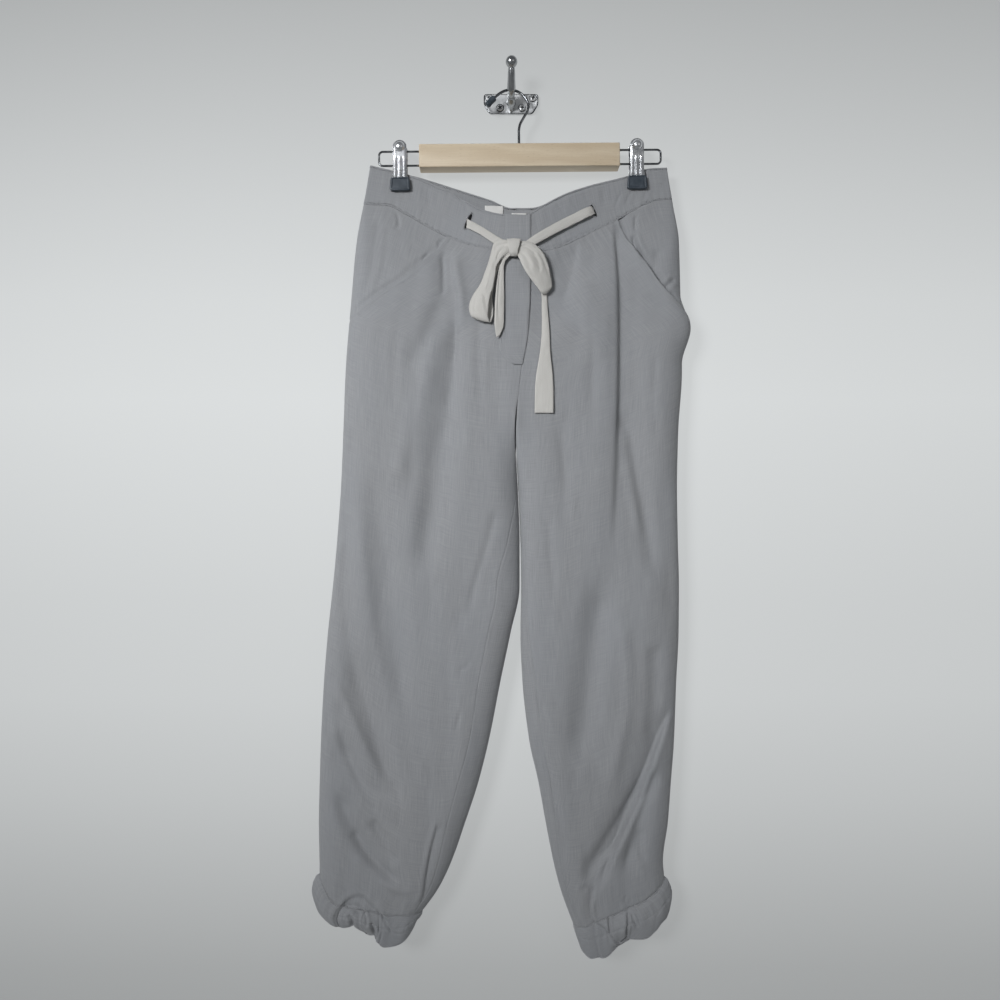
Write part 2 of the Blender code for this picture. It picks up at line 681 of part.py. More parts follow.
def front_face(x, height):
    """Depth of the front cloth's middle at any point of the body."""
    x = np.atleast_1d(np.asarray(x, float))
    height = np.broadcast_to(np.asarray(height, float), x.shape)
    centre = inner_edge("right", "front", height)
    right = depth_at("right", "front", np.minimum(x, centre), height)
    left = depth_at("left", "front", np.maximum(x, centre), height)
    return np.where(x < centre, right, left)


# ---- garment pieces -----------------------------------------------------------------------------

def leg_fronts():
    along = columns_across(GRID["front_columns"])
    for leg in ("right", "left"):
        top = edge_heights(leg, "front", along, WAIST_SEAM, -SEAM_GAP / 2)
        foot = edge_heights(leg, "front", along, HEM[leg], SEAM_GAP)
        points = panel(leg, "front", along, leg_rows(top, foot, GRID["front_rows"], GRID["lower_rows"]))
        if leg == "left":
            points[..., 1] += pocket_gape(points[..., 0], points[..., 2])
        cloth("leg_front_" + leg, points, CLOTH, "linen")


def pocket_gape(x, height):
    """How far the left pocket's mouth stands forward of the hip."""
    near = np.exp(-(((x - mouth_x("left", height)) / OPEN_POCKET["gape_width"]) ** 2))
    foot = ease((height - OPEN_POCKET["foot"]) / OPEN_POCKET["gape_foot_blend"])
    head = ease((OPEN_POCKET["gape_head"] - height) / OPEN_POCKET["gape_head_blend"])
    return OPEN_POCKET["gape"] * near * foot * head


def leg_backs():
    along = columns_across(GRID["back_columns"])
    for leg in ("right", "left"):
        top = edge_heights(leg, "back", along, WAIST_BACK_TOP, -BAND_DROP - SEAM_GAP / 2)
        foot = edge_heights(leg, "back", along, HEM[leg], SEAM_GAP)
        points = panel(leg, "back", along, leg_rows(top, foot, GRID["back_rows"], GRID["lower_rows"]))
        cloth("leg_back_" + leg, points, CLOTH, "linen")


def pocket_facings():
    along = columns_across(GRID["facing_columns"])
    for leg in ("right", "left"):
        top = edge_heights(leg, "facing", along, WAIST_SEAM, -SEAM_GAP / 2 - GAP)
        bottom = mouth_foot(leg) + FACING["below"]
        foot = np.full(len(along), bottom)
        points = panel(leg, "facing", along, rows_between(top, foot, GRID["facing_rows"]))
        x, height = points[..., 0], points[..., 2]
        from_mouth = sign(leg) * (mouth_x(leg, height) - x)
        under = ease((from_mouth + FACING["under_from"]) / FACING["under_blend"])
        low = ease((bottom + FACING["low_from"] - height) / FACING["low_blend"])
        deeper = ease((curve_from(WAIST_SEAM, x) - height) / FACING["deeper_over"])
        from_edge = ease(np.abs(x - outer_edge(leg, "back", height)) / FACING["edge_blend"])
        drop = (FACING["drop"] + FACING["deeper"] * deeper) * from_edge
        points[..., 1] -= drop * np.maximum(under, low)
        points[..., 0] -= sign(leg) * FACING["drop"] * low
        cloth("pocket_facing_" + leg, points, CLOTH, "linen")


def band_half(leg, kind, edge, count, seam):
    along = np.linspace(0, 1, count)
    top = edge_heights(leg, kind, along, edge, 0.0)
    foot = edge_heights(leg, kind, along, seam, SEAM_GAP / 2)
    return panel(leg, kind, along, rows_between(top, foot, GRID["band_rows"]))


def waistband():
    back_seam = [(x, z - BAND_DROP) for x, z in WAIST_BACK_TOP]
    slits = {slit[0]: slit_cutter(*slit) for slit in SLITS}
    for leg in ("right", "left"):
        points = band_half(leg, "band", WAIST_FRONT_TOP, GRID["band_columns"], WAIST_SEAM)
        piece = cloth("waistband_front_" + leg, points, BAND_CLOTH, "linen")
        cut = piece.modifiers.new("drawstring slit", "BOOLEAN")
        cut.operation = "DIFFERENCE"
        cut.object = slits[leg]
    columns = GRID["band_back_columns"]
    right = band_half("right", "band_back", WAIST_BACK_TOP, columns, back_seam)
    left = band_half("left", "band_back", WAIST_BACK_TOP, columns, back_seam)
    centre = (right[:, :1] + left[:, :1]) / 2
    whole = np.concatenate((right[:, :0:-1], centre, left[:, 1:]), axis=1)
    cloth("waistband_back", whole, BAND_CLOTH, "linen")


def slit_cutter(leg, x, tall, lean):
    cutter = box("slit_" + leg, (SLIT_WIDTH, 4 * BAND_CLOTH, tall), "linen", collection=cutters)
    route = TAPE_ROUTES["run_" + leg][0]
    cutter.location = place(x, float(front_face(x, route[2])[0]), route[2])
    cutter.rotation_euler.y = math.radians(lean)
    cutter.hide_render = True
    cutter.display_type = "WIRE"
    return cutter


def waistband_tab():
    x = np.linspace(*TAB_SPAN, GRID["tab_columns"])
    top = curve_from(WAIST_FRONT_TOP, x) - 2 * GAP
    foot = curve_from(WAIST_SEAM, x) + GAP
    height = rows_between(top, foot, GRID["tab_rows"])
    across = np.broadcast_to(x, height.shape)
    lift = BAND_CLOTH / 2 + GAP + TAB_CLOTH / 2
    depth = front_face(across.ravel(), height.ravel()).reshape(height.shape) + lift
    cloth("waistband_tab", np.stack((across, depth, height), axis=-1), TAB_CLOTH, "linen")


def fly_placket():
    """J-shaped strip: a straight stitched side that turns round to the fly edge at its foot."""
    height = np.linspace(FLY_EDGE[0][0] - GAP, FLY_FOOT, GRID["fly_rows"])
    edge = curve_from(FLY_EDGE, height)
    straight = curve_from(FLY_STITCH, height)
    turn = np.clip((FLY_TURN - height) / (FLY_TURN - FLY_FOOT + 2.0), 0.0, 1.0)
    start = edge - (edge - straight) * np.sqrt(1 - turn ** 2)
    across = np.linspace(0, 1, GRID["fly_columns"])
    x = start[:, None] + (edge - start)[:, None] * across
    level = np.broadcast_to(height[:, None], x.shape)
    lift = CLOTH / 2 + 3 * GAP + FLY_CLOTH / 2
    depth = front_face(x.ravel(), level.ravel()).reshape(x.shape) + lift
    cloth("fly_placket", np.stack((x, depth, level), axis=-1), FLY_CLOTH, "linen")


def labels():
    for name, x0, x1, z0, z1 in LABELS:
        x = np.linspace(x0, x1, GRID["label"])
        level, across = np.meshgrid(np.linspace(z0, z1, GRID["label"]), x, indexing="ij")
        depth = depth_at("right", "back", np.minimum(across, BACK_CENTRE), level)
        depth = depth + BAND_CLOTH / 2 + GAP + LABEL_CLOTH / 2
        cloth(name, np.stack((across, depth, level), axis=-1), LABEL_CLOTH, "label")


def cuffs():
    """Gathered cuffs: the leg's own hem ring, swollen, rippled and drawn in at the foot."""
    half = np.linspace(0, 1, GRID["cuff_half"])
    levels = np.linspace(0, 1, GRID["cuff_rows"])
    for leg in ("right", "left"):
        rings = []
        for side in ("front", "back"):
            height = edge_line(leg, side, half)
            x_line, depth_line = half_section(leg, side, height)
            run = distance_along(x_line, depth_line)
            target = run[:, -1] * half
            x = np.array([np.interp(t, r, v) for t, r, v in zip(target, run, x_line)])
            depth = np.array([np.interp(t, r, v) for t, r, v in zip(target, run, depth_line)])
            ring = np.stack((x, depth, height), axis=-1)
            rings.append(ring if side == "front" else ring[::-1])
        rings[0][-1] = rings[1][0] = (rings[0][-1] + rings[1][0]) / 2
        rings[0][0] = rings[1][-1] = (rings[0][0] + rings[1][-1]) / 2
        ring = np.concatenate((rings[0], rings[1][1:]))
        cloth("cuff_" + leg, cuff_wall(leg, ring, levels), CLOTH, "linen", closed=True)


def edge_line(leg, side, along):
    height = np.full(len(along), float(np.mean([z for _, z in HEM[leg]])))
    for _ in range(8):
        x_line, depth_line = half_section(leg, side, height)
        run = distance_along(x_line, depth_line)
        x = np.array([np.interp(t * r[-1], r, v) for t, r, v in zip(along, run, x_line)])
        height = curve_from(HEM[leg], x)
    return height


def cuff_wall(leg, ring, levels):
    centre = ring[:-1].mean(axis=0)
    angle = np.arctan2(ring[:, 1] - centre[1], ring[:, 0] - centre[0])
    outward = np.stack((CUFF["flat"] * np.cos(angle), np.sin(angle)), axis=-1)
    count = len(ring)
    turn = np.linspace(0, 2 * math.pi, count)
    loudness = 1 - CUFF["louder"] + CUFF["louder"] * np.sin(3 * turn)
    ruffle = np.sin(CUFF["ruffles"] * turn + CUFF["uneven"] * np.sin(2 * turn)) * loudness
    rows = []
    for level in levels:
        swell = CUFF["swell"] * math.sin(math.pi * min(1.0, level * 1.05)) - CUFF["draw"] * level ** 2
        shrink = 1 - CUFF["narrow"] * level ** 2
        ripple = CUFF["ripple"] * ruffle * math.sin(math.pi * min(1.0, 0.15 + 0.8 * level))
        out = (swell + ripple)[:, None] * outward if level > 0 else np.zeros((count, 2))
        x = centre[0] + (ring[:, 0] - centre[0]) * shrink + out[:, 0]
        depth = centre[1] + (ring[:, 1] - centre[1]) * shrink + out[:, 1]
        foot = curve_from(CUFF_FOOT[leg], x)
        top = ring[:, 2] - SEAM_GAP
        drop = np.maximum(top - foot, CUFF["least"])
        rows.append(np.stack((x, depth, top - drop * level), axis=-1))
    return np.array(rows)


# ---- drawstring ---------------------------------------------------------------------------------

def ribbon(name, rows, steps, thickness=TAPE_CLOTH):
    """Flat tape along a route that is given by its lift off the cloth beneath it."""
    table = [dict(zip(TAPE_COLUMNS, row)) for row in rows]
    route = []
    for point in table:
        under = float(front_face(point["x"], point["height"])[0])
        depth = under + BAND_CLOTH / 2 + point["lift"]
        route.append((point["x"], depth, point["height"], point["width"], point["lean"]))
    line = through(route, steps)
    lean = np.radians(line[:, 4])
    across = np.stack((np.cos(lean), np.zeros(steps), np.sin(lean)), axis=-1)
    side = np.linspace(-0.5, 0.5, 4)
    width = line[:, 3]
    points = line[:, None, :3] + across[:, None, :] * side[None, :, None] * width[:, None, None]
    cloth(name, points, thickness, "tape")


def drawstring():
    for name, rows in TAPE_ROUTES.items():
        ribbon("drawstring_" + name, rows, TAPE_STEPS[name])
    knot()


def knot():
    bm = bmesh.new()
    bmesh.ops.create_uvsphere(bm, u_segments=18, v_segments=10, radius=0.5)
    tab_face = float(front_face(KNOT["x"], KNOT["z"])[0]) + BAND_CLOTH / 2 + GAP + TAB_CLOTH
    for vert in bm.verts:
        x, y, z = vert.co
        ridge = 1 + KNOT["wrap"] * math.cos(KNOT["wraps"] * z + KNOT["slant"] * x)
        end_taper = 1 - KNOT["taper"] * (2 * x) ** 2
        groove = KNOT["groove"] * (1 - (2 * x) ** 2) * max(0.0, -2 * z)
        vert.co = place(
            KNOT["x"] + x * KNOT["wide"] * ridge,
            tab_face + GAP + KNOT["lift"] + KNOT["deep"] * (0.5 - y * ridge),
            KNOT["z"] + z * KNOT["tall"] * ridge * end_taper - groove,
        )
    add_mesh("drawstring_knot", bm, "tape")


# ---- hanger -------------------------------------------------------------------------------------

def hanger():
    frame = bpy.data.objects.new("hanger_frame", None)
    frame.location = place(BAR["x"], HANG_DEPTH, BAR["z"])
    frame.rotation_euler.y = -math.radians(BAR["tilt"])
    parts.objects.link(frame)
    bar = box("hanger_bar", (BAR["length"], BAR["depth"], BAR["height"]), "beech", bevel=BAR["bevel"])
    bar.parent = frame
    for side, reach in (("right", -SIDE_WIRE["reach_right"]), ("left", SIDE_WIRE["reach_left"])):
        wire = side_wire("hanger_wire_" + side, reach)
        wire.parent = frame
    for side, offset in CLIP_OFFSETS.items():
        for piece in clip(side):
            piece.location.x += offset * MM
            piece.parent = frame


def side_wire(name, reach):
    """U-shaped wire whose two ends meet the end of the bar."""
    way = math.copysign(1.0, reach)
    start = way * (BAR["length"] / 2 + GAP)
    bend, rise = SIDE_WIRE["bend"], SIDE_WIRE["rise"]
    route = [(start, 0.0, rise)]
    for quarter in (0, 1):
        for step in range(5):
            angle = math.pi / 2 * (1 - quarter) - math.pi / 2 * step / 4
            centre = rise - bend if quarter == 0 else bend - rise
            x = reach - way * bend * (1 - math.cos(angle))
            route.append((x, 0.0, centre + bend * math.sin(angle)))
    route.append((start, 0.0, -rise))
    return tube(name, route, SIDE_WIRE["radius"], "chrome")


def strip_outline(profile, thickness):
    """Closed outline of a bent sheet whose inner face follows the profile."""
    profile = np.array(profile, float)
    along = np.gradient(profile, axis=0)
    along /= np.linalg.norm(along, axis=1)[:, None]
    normal = np.stack((-along[:, 1], along[:, 0]), axis=-1)
    outer = profile + normal * thickness
    return [tuple(p) for p in profile] + [tuple(p) for p in outer[::-1]]


def clip(side):
    """Two bent jaws round a spring, with rubber tips and a domed rivet."""
    pieces = []
    for face, way in (("front", 1.0), ("back", -1.0)):
        outline = [(way * out, up) for out, up in strip_outline(JAW_PROFILE, CLIP["sheet"])]
        jaw = outline_plate(f"clip_{face}_jaw_{side}", outline, CLIP["width"], "chrome")
        jaw.matrix_basis = Matrix(((0, 0, -1, 0), (-1, 0, 0, 0), (0, 1, 0, 0), (0, 0, 0, 1)))
        pieces.append(jaw)
        tip_depth = JAW_PROFILE[-1][0] - GAP - CLIP["tip_thick"] / 2
        size = (CLIP["tip_width"], CLIP["tip_thick"], CLIP["tip_height"])
        tip = box(f"clip_{face}_tip_{side}", size, "rubber", bevel=CLIP["tip_round"])
        tip.location = place(0.0, way * (tip_depth + tip_shift()), JAW_PROFILE[-1][1] - CLIP["tip_drop"])
        pieces.append(tip)
    bm = bmesh.new()
    turn = Matrix.Rotation(math.pi / 2, 4, "Y")
    oval = Matrix.Diagonal((1.0, 1.0, SPRING["rise"] / SPRING["radius"], 1.0))
    radius = SPRING["radius"] * MM
    bmesh.ops.create_cone(bm, cap_ends=True, segments=20, radius1=radius, radius2=radius,
                          depth=SPRING["length"] * MM, matrix=oval @ turn)
    pieces.append(add_mesh("clip_spring_" + side, bm, "chrome"))
    pieces.append(clip_dome(side))
    return pieces


def tip_shift():
    """Keeps the rubber tips just clear of the cloth between them."""
    cloth_face = PINCH + BAND_CLOTH / 2 + GAP
    inner_face = JAW_PROFILE[-1][0] - GAP - CLIP["tip_thick"]
    return cloth_face - inner_face


def clip_dome(side):
    """Half-round rivet head on the front jaw."""
    profile = bmesh.new()
    bmesh.ops.create_uvsphere(profile, u_segments=16, v_segments=8, radius=CLIP["dome"] * MM)
    cut = bmesh.ops.bisect_plane(
        profile, geom=profile.verts[:] + profile.edges[:] + profile.faces[:],
        plane_co=(0, 0, 0), plane_no=(0, 1, 0), clear_outer=True,
    )
    rim = [e for e in cut["geom_cut"] if isinstance(e, bmesh.types.BMEdge)]
    bmesh.ops.holes_fill(profile, edges=rim, sides=0)
    for vert in profile.verts:
        vert.co.y *= CLIP["dome_flat"]
    dome = add_mesh("clip_dome_" + side, profile, "chrome")
    dome.location = place(0.0, JAW_PROFILE[1][0] + CLIP["sheet"] + GAP, CLIP["dome_height"])
    return dome


def hanger_hook():
    route = through([(x, HANG_DEPTH, z) for x, z in CROOK_ROUTE], 34)
    run = np.concatenate(([0.0], np.cumsum(np.linalg.norm(np.diff(route, axis=0), axis=1))))
    swell = ease((CROOK_TIP["length"] - run) / CROOK_TIP["step"])
    radii = CROOK_RADIUS + (CROOK_TIP["radius"] - CROOK_RADIUS) * swell
    tube("hanger_hook", [tuple(p) for p in route], CROOK_RADIUS, "chrome", radii=list(radii))


# ---- wall hook ----------------------------------------------------------------------------------

def rounded_outline(corners, radius, steps=3):
    """Outline with each corner replaced by a short curve that leaves its two sides smoothly."""
    outline = []
    for index, corner in enumerate(corners):
        here = Vector(corner)
        before = Vector(corners[index - 1])
        after = Vector(corners[(index + 1) % len(corners)])
        start = here + (before - here).normalized() * radius
        end = here + (after - here).normalized() * radius
        for step in range(steps + 1):
            t = step / steps
            outline.append(tuple(start * (1 - t) ** 2 + here * 2 * t * (1 - t) + end * t * t))
    return outline


def wall_hook():
    outline = rounded_outline(PLATE_OUTLINE, PLATE["corner"])
    plate = outline_plate("hook_plate", outline, PLATE["thick"], "chrome")
    plate.location = place(0.0, PLATE["thick"] / 2, 0.0)
    plate.rotation_euler.x = math.pi / 2
    for index, (x, z) in enumerate(SCREWS):
        bm = bmesh.new()
        bmesh.ops.create_cone(bm, cap_ends=True, segments=16, radius1=SCREW["radius"] * MM,
                              radius2=SCREW["top"] * SCREW["radius"] * MM, depth=SCREW["height"] * MM)
        head = add_mesh(f"hook_screw_{index + 1}", bm, "chrome")
        head.location = place(x, PLATE["thick"] + GAP + SCREW["height"] / 2, z)
        head.rotation_euler.x = math.pi / 2
    route = through([(0.0, depth, z, radius) for depth, z, radius in ARM_ROUTE], 14)
    ball = BALL["radius"]
    neck = ARM_ROUTE[-1]
    aim = Vector((BALL["depth"] - neck[0], BALL["height"] - neck[1])).normalized()
    foot = ARM_ROUTE[0]
    line = [(0.0, PLATE["thick"] + GAP, foot[1])] + [tuple(p[:3]) for p in route]
    radii = [foot[2]] + [p[3] for p in route]
    for angle in np.radians(np.linspace(BALL["neck_angle"], BALL["crown_angle"], BALL["rings"])):
        reach = ball * math.sin(angle)
        line.append((0.0, BALL["depth"] + aim.x * reach, BALL["height"] + aim.y * reach))
        radii.append(ball * math.cos(angle))
    tube("hook_arm", line, ball, "chrome", radii=radii, resolution=3)


leg_fronts()
leg_backs()
pocket_facings()
waistband()
waistband_tab()
fly_placket()
labels()
cuffs()
drawstring()
hanger()
hanger_hook()
wall_hook()
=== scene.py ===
import math

import bmesh
import bpy
import numpy as np
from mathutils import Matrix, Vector


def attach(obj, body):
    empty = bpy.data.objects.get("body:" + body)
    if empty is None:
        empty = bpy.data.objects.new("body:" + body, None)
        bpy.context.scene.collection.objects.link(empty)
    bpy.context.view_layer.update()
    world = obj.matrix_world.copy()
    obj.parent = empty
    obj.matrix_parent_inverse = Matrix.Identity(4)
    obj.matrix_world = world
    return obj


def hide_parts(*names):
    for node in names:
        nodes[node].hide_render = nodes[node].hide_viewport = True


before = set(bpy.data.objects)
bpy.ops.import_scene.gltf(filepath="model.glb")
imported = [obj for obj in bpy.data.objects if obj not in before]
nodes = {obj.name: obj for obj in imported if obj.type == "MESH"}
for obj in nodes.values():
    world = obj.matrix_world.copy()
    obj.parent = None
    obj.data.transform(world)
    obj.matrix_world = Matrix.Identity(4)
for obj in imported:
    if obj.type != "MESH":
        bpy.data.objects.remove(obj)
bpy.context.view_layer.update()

# Linen drawstring trousers on a clip hanger and a wall hook. Sizes are in millimetres: x to the side,
# depth out from the wall (that is -Y) and height up. Right and left are the wearer's.
mm = 0.001
gap = 0.3
outwardAxis = np.array((0.0, 1.0, 0.0))
print("frame:", len(nodes), "solids")

# The camera stands level in front of the garment, a little to the right of its middle line.
view = {"x": -14.7, "depth": 1040.0, "height": -528.0, "lens": 28.08, "sensor": 36.0}


def place(points):  # (x, depth, height) in millimetres to the frame's metres
    return np.asarray(points, float) * (mm, -mm, mm)


lens = bpy.data.cameras.new("camera")
lens.lens = view["lens"]
lens.sensor_width = view["sensor"]
viewer = bpy.data.objects.new("camera", lens)
viewer.location = place((view["x"], view["depth"], view["height"]))
viewer.rotation_euler = (math.pi / 2, 0.0, 0.0)
bpy.context.scene.collection.objects.link(viewer)
bpy.context.scene.camera = viewer
print("camera placed")


def circle(count):  # angles evenly round a full turn
    return np.linspace(0, 2 * math.pi, count, endpoint=False)


def pointsOf(x, depth, height):  # points from their three parts, spread to one shape
    return np.stack(np.broadcast_arrays(x, depth, height), axis=-1)


def turned(a, b, angle):  # a pair of coordinates turned by an angle
    return a * math.cos(angle) + b * math.sin(angle), b * math.cos(angle) - a * math.sin(angle)


def signedPower(value, exponent):  # squares off a sine or cosine and keeps its sign
    return np.sign(value) * np.abs(value) ** exponent


def unit(vectors):  # the same directions at length one
    return vectors / np.maximum(np.linalg.norm(vectors, axis=-1, keepdims=True), 1e-9)


def lengthAlong(line):  # distance along a line at each of its points
    return np.concatenate(([0.0], np.cumsum(np.linalg.norm(np.diff(line, axis=0), axis=1))))


# Curves through short tables

def cubic(knots, values, tangent, at):  # the curve that has these values and tangents at its knots
    cell = np.clip(np.searchsorted(knots, at) - 1, 0, len(knots) - 2)
    step = np.diff(knots)[cell]
    t = (at - knots[cell]) / step
    if values.ndim == 2:
        step, t = step[:, None], t[:, None]
    start = values[cell] * (1 + 2 * t) * (1 - t) ** 2 + step * tangent[cell] * t * (1 - t) ** 2
    end = values[cell + 1] * t * t * (3 - 2 * t) + step * tangent[cell + 1] * t * t * (t - 1)
    return start + end


def curveFrom(table, at):  # cubic through (place, value) rows that never overshoots between them
    knots, values = (np.array(column, float) for column in zip(*sorted(table)))
    slope = np.diff(values) / np.diff(knots)
    tangent = np.concatenate((slope[:1], np.zeros(len(slope) - 1), slope[-1:]))
    before, after = slope[:-1], slope[1:]
    same = before * after > 0
    tangent[1:-1][same] = 2 * before[same] * after[same] / (before[same] + after[same])
    return cubic(knots, values, tangent, np.clip(at, knots[0], knots[-1]))


def column(rows, columns, name, at):  # one named column of a table, read at any height
    key = columns.index("height")
    value = columns.index(name)
    return curveFrom([(row[key], row[value]) for row in rows], at)


def ease(t):  # 0 below 0, 1 above 1, and a smooth S between
    t = np.clip(t, 0.0, 1.0)
    return t * t * (3 - 2 * t)


def through(points, count):  # smooth curve through the rows, read at even distances along it
    points = np.array(points, float)
    knots = lengthAlong(points[:, :3])
    return cubic(knots, points, np.gradient(points, knots, axis=0), np.linspace(0.0, knots[-1], count))


def readRows(places, values, targets):  # reads each row of values at its own targets, rows end to end
    shift = np.arange(len(places))[:, None] * 1e5
    found = np.interp((targets + shift).ravel(), (places + shift).ravel(), values.ravel())
    return found.reshape(targets.shape)


def softNoise(across, up, seed):  # a seeded lattice of values from -1 to 1, eased between its points
    wide, tall = 97, 89
    lattice = np.random.default_rng(seed).uniform(-1, 1, (wide, tall))
    left, low = np.floor(across).astype(int), np.floor(up).astype(int)
    s, t = ease(across - left), ease(up - low)

    def level(row):
        return lattice[left % wide, row % tall] * (1 - s) + lattice[(left + 1) % wide, row % tall] * s

    return level(low) * (1 - t) + level(low + 1) * t


# The hanging cloth: one pair of surfaces whose depth is known at every x and height

cloth = {
    "wall": 1.4, "bandWall": 2.0, "bandDrop": 50.0, "pinch": 1.15, "backCentre": 11.0,
    "waistCentre": 9.0, "waistHalf": 138.0, "waistEase": 25.0, "hipBlend": 110.0,
    "crotch": -520.0, "crotchBlend": 100.0, "innerEdge": 36.0, "seam": 0.18, "deepest": 0.75,
}
divide = {
    "back": -480.0, "backBlend": 60.0, "front": -425.0, "frontBlend": 30.0,
    "openGap": 0.95, "closedGap": 0.15, "wrap": -505.0, "wrapBlend": 30.0,
}
legColumns = ("height", "outer", "inner", "wrap")
legRows = {
    "right": (
        (-92, -183.5, 25, 0), (-143, -192, 25, 0), (-190, -200.5, 25, 0), (-268, -207, 23.5, 0),
        (-360, -214, 12.5, 0), (-440, -217, 5, 0), (-511, -220, 8.5, 2), (-580, -225, 11, 15),
        (-640, -230.5, 11, 29), (-700, -237, -0.5, 29), (-762, -242, -13.5, 28), (-840, -246, -29, 25),
        (-892, -247.5, -42, 26), (-944, -248.5, -59, 23), (-995, -247.5, -77, 17),
        (-1030, -247, -94, 13), (-1075, -246, -128, 12),
    ),
    "left": (
        (-92, 202, 25, 0), (-143, 210, 25, 0), (-190, 217.5, 25, 0), (-268, 219, 23.5, 0),
        (-360, 220.5, 12.5, 0), (-440, 215.5, 5, 0), (-511, 214, 8.5, 2), (-580, 215, 11.5, 5),
        (-640, 216.5, 12.5, 5), (-700, 216, 11.5, 11), (-762, 213, 14, 16), (-840, 210, 23, 17),
        (-892, 206, 34.5, 15), (-944, 202, 44, 12), (-995, 195.5, 54, 9), (-1030, 198, 63, 8),
        (-1085, 197, 83, 9),
    ),
}
depthColumns = ("height", "middle", "front", "back", "edge", "lap")
depthRows = (
    (-92, 22, 29, 16, 3, 1.15), (-145, 22, 32, 12, 4, 1.15), (-160, 22, 33, 11, 8, 1.1),
    (-209, 23, 38, 9, 18, 0.95), (-260, 25, 44, 8, 30, 0.7), (-330, 27, 48, 8, 42, 0.5),
    (-420, 28, 50, 8, 45, 0.3), (-511, 28, 49, 9, 42, 0.3), (-634, 28, 47, 10, 38, 0.3),
    (-810, 28, 46, 11, 34, 0.3), (-980, 29, 48, 12, 32, 0.3), (-1085, 30, 49, 13, 28, 0.3),
)
waistFrontTop = (
    (-184, -92), (-132, -105), (-93, -121.5), (-68, -135), (-35, -153), (-9, -159), (19, -160),
    (38, -148.5), (71, -130.5), (102, -119), (152, -106), (178, -96.5), (203, -95),
)
waistBackTop = (
    (-184, -92), (-132, -104), (-69, -122), (-27, -134), (1, -143.5), (25, -143.5), (72, -127),
    (103, -117), (152, -105), (178, -96), (203, -94.5),
)
waistSeam = (
    (-193, -143), (-161, -144.5), (-137, -156), (-113, -170), (-82, -187), (-67, -193.5), (-30, -205),
    (10, -209), (44, -207), (87, -190), (108, -178.5), (137, -164), (175, -143), (191, -137.5),
    (212, -136.5),
)
hem = {
    "right": ((-250, -1006), (-244, -1015), (-224, -1041), (-205, -1047), (-186, -1050), (-150, -1056),
              (-119, -1058)),
    "left": ((80, -1076), (94, -1072), (112, -1062), (142, -1049), (172, -1035.5), (191, -1021), (200, -1009)),
}
pocketMouth = {
    "right": ((-84, -188), (-100, -208), (-115, -222), (-134, -241), (-161, -259), (-185, -277),
              (-207, -296)),
    "left": ((139, -164), (149, -190), (161, -209), (174, -228), (192, -255), (209, -273),
             (226, -292), (231, -304)),
}
openPocket = {
    "flare": 11.0, "foot": -352.0, "footBlend": 46.0, "flareHead": -262.0, "flareBlend": 40.0,
    "gape": 5.0, "gapeWidth": 16.0, "gapeFootBlend": 50.0, "gapeHead": -172.0, "gapeHeadBlend": 30.0,
}
facing = {
    "lap": 13.0, "drop": {"right": 0.75, "left": 2.1}, "deeper": {"right": 0.5, "left": 1.3}, "deeperOver": 60.0,
    "below": -6.0, "underFrom": 15.0, "underBlend": 11.0, "lowFrom": 10.0, "lowBlend": 8.0, "edgeBlend": 14.0,
    "lowDrop": 1.5,
}
gathers = {"count": 5, "rise": 48.0, "depth": {"front": 0.3, "back": 3.0}, "uneven": 0.35, "front": 0.6, "back": 2.1}

# The pleats and large folds: a soft line through three points, and its trough's width and depth.
# Crisp is 1 where the steep side faces +x and -1 where it faces -x.
foldColumns = ("x0", "z0", "x1", "z1", "x2", "z2", "width", "depth", "crisp")
foldRows = {
    ("right", "front"): (
        (-88, -190, -86, -262, -112, -345, 13, 3.0, 0), (-74, -200, -72, -250, -68, -320, 12, -3.5, 0),
        (-74, -240, -82, -420, -114, -640, 18, 5.5, 0), (-180, -470, -163, -630, -128, -850, 24, 4.2, 0),
        (-206, -520, -215, -620, -205, -726, 13, 2.4, 0), (-205, -716, -178, -826, -138, -930, 15, 5.0, 0),
        (-229, -818, -190, -905, -146, -985, 16, 5.5, 0), (-222, -895, -188, -968, -142, -1024, 14, 5.0, 0),
    ),
    ("left", "front"): (
        (133.5, -160, 136.5, -330, 124, -625, 26, 5.2, 1), (150, -215, 156, -430, 180, -650, 26, 5.0, 0),
        (128, -600, 102, -715, 92, -885, 20, 4.5, 0), (194, -480, 200, -590, 206, -700, 12, 3.0, 0),
        (80, -196, 52, -245, 45, -330, 18, 2.5, 0), (209, -782, 155, -918, 104, -1045, 20, 9.0, -1),
        (185, -860, 162, -940, 143, -1020, 14, 5.0, 0),
    ),
    ("right", "back"): (
        (-92, -215, -100, -420, -128, -690, 24, 5.0, 0), (-170, -560, -150, -760, -120, -960, 22, 4.5, 0),
    ),
    ("left", "back"): (
        (112, -215, 118, -420, 140, -690, 24, 5.0, 0), (176, -600, 150, -790, 118, -985, 22, 4.5, 0),
    ),
}

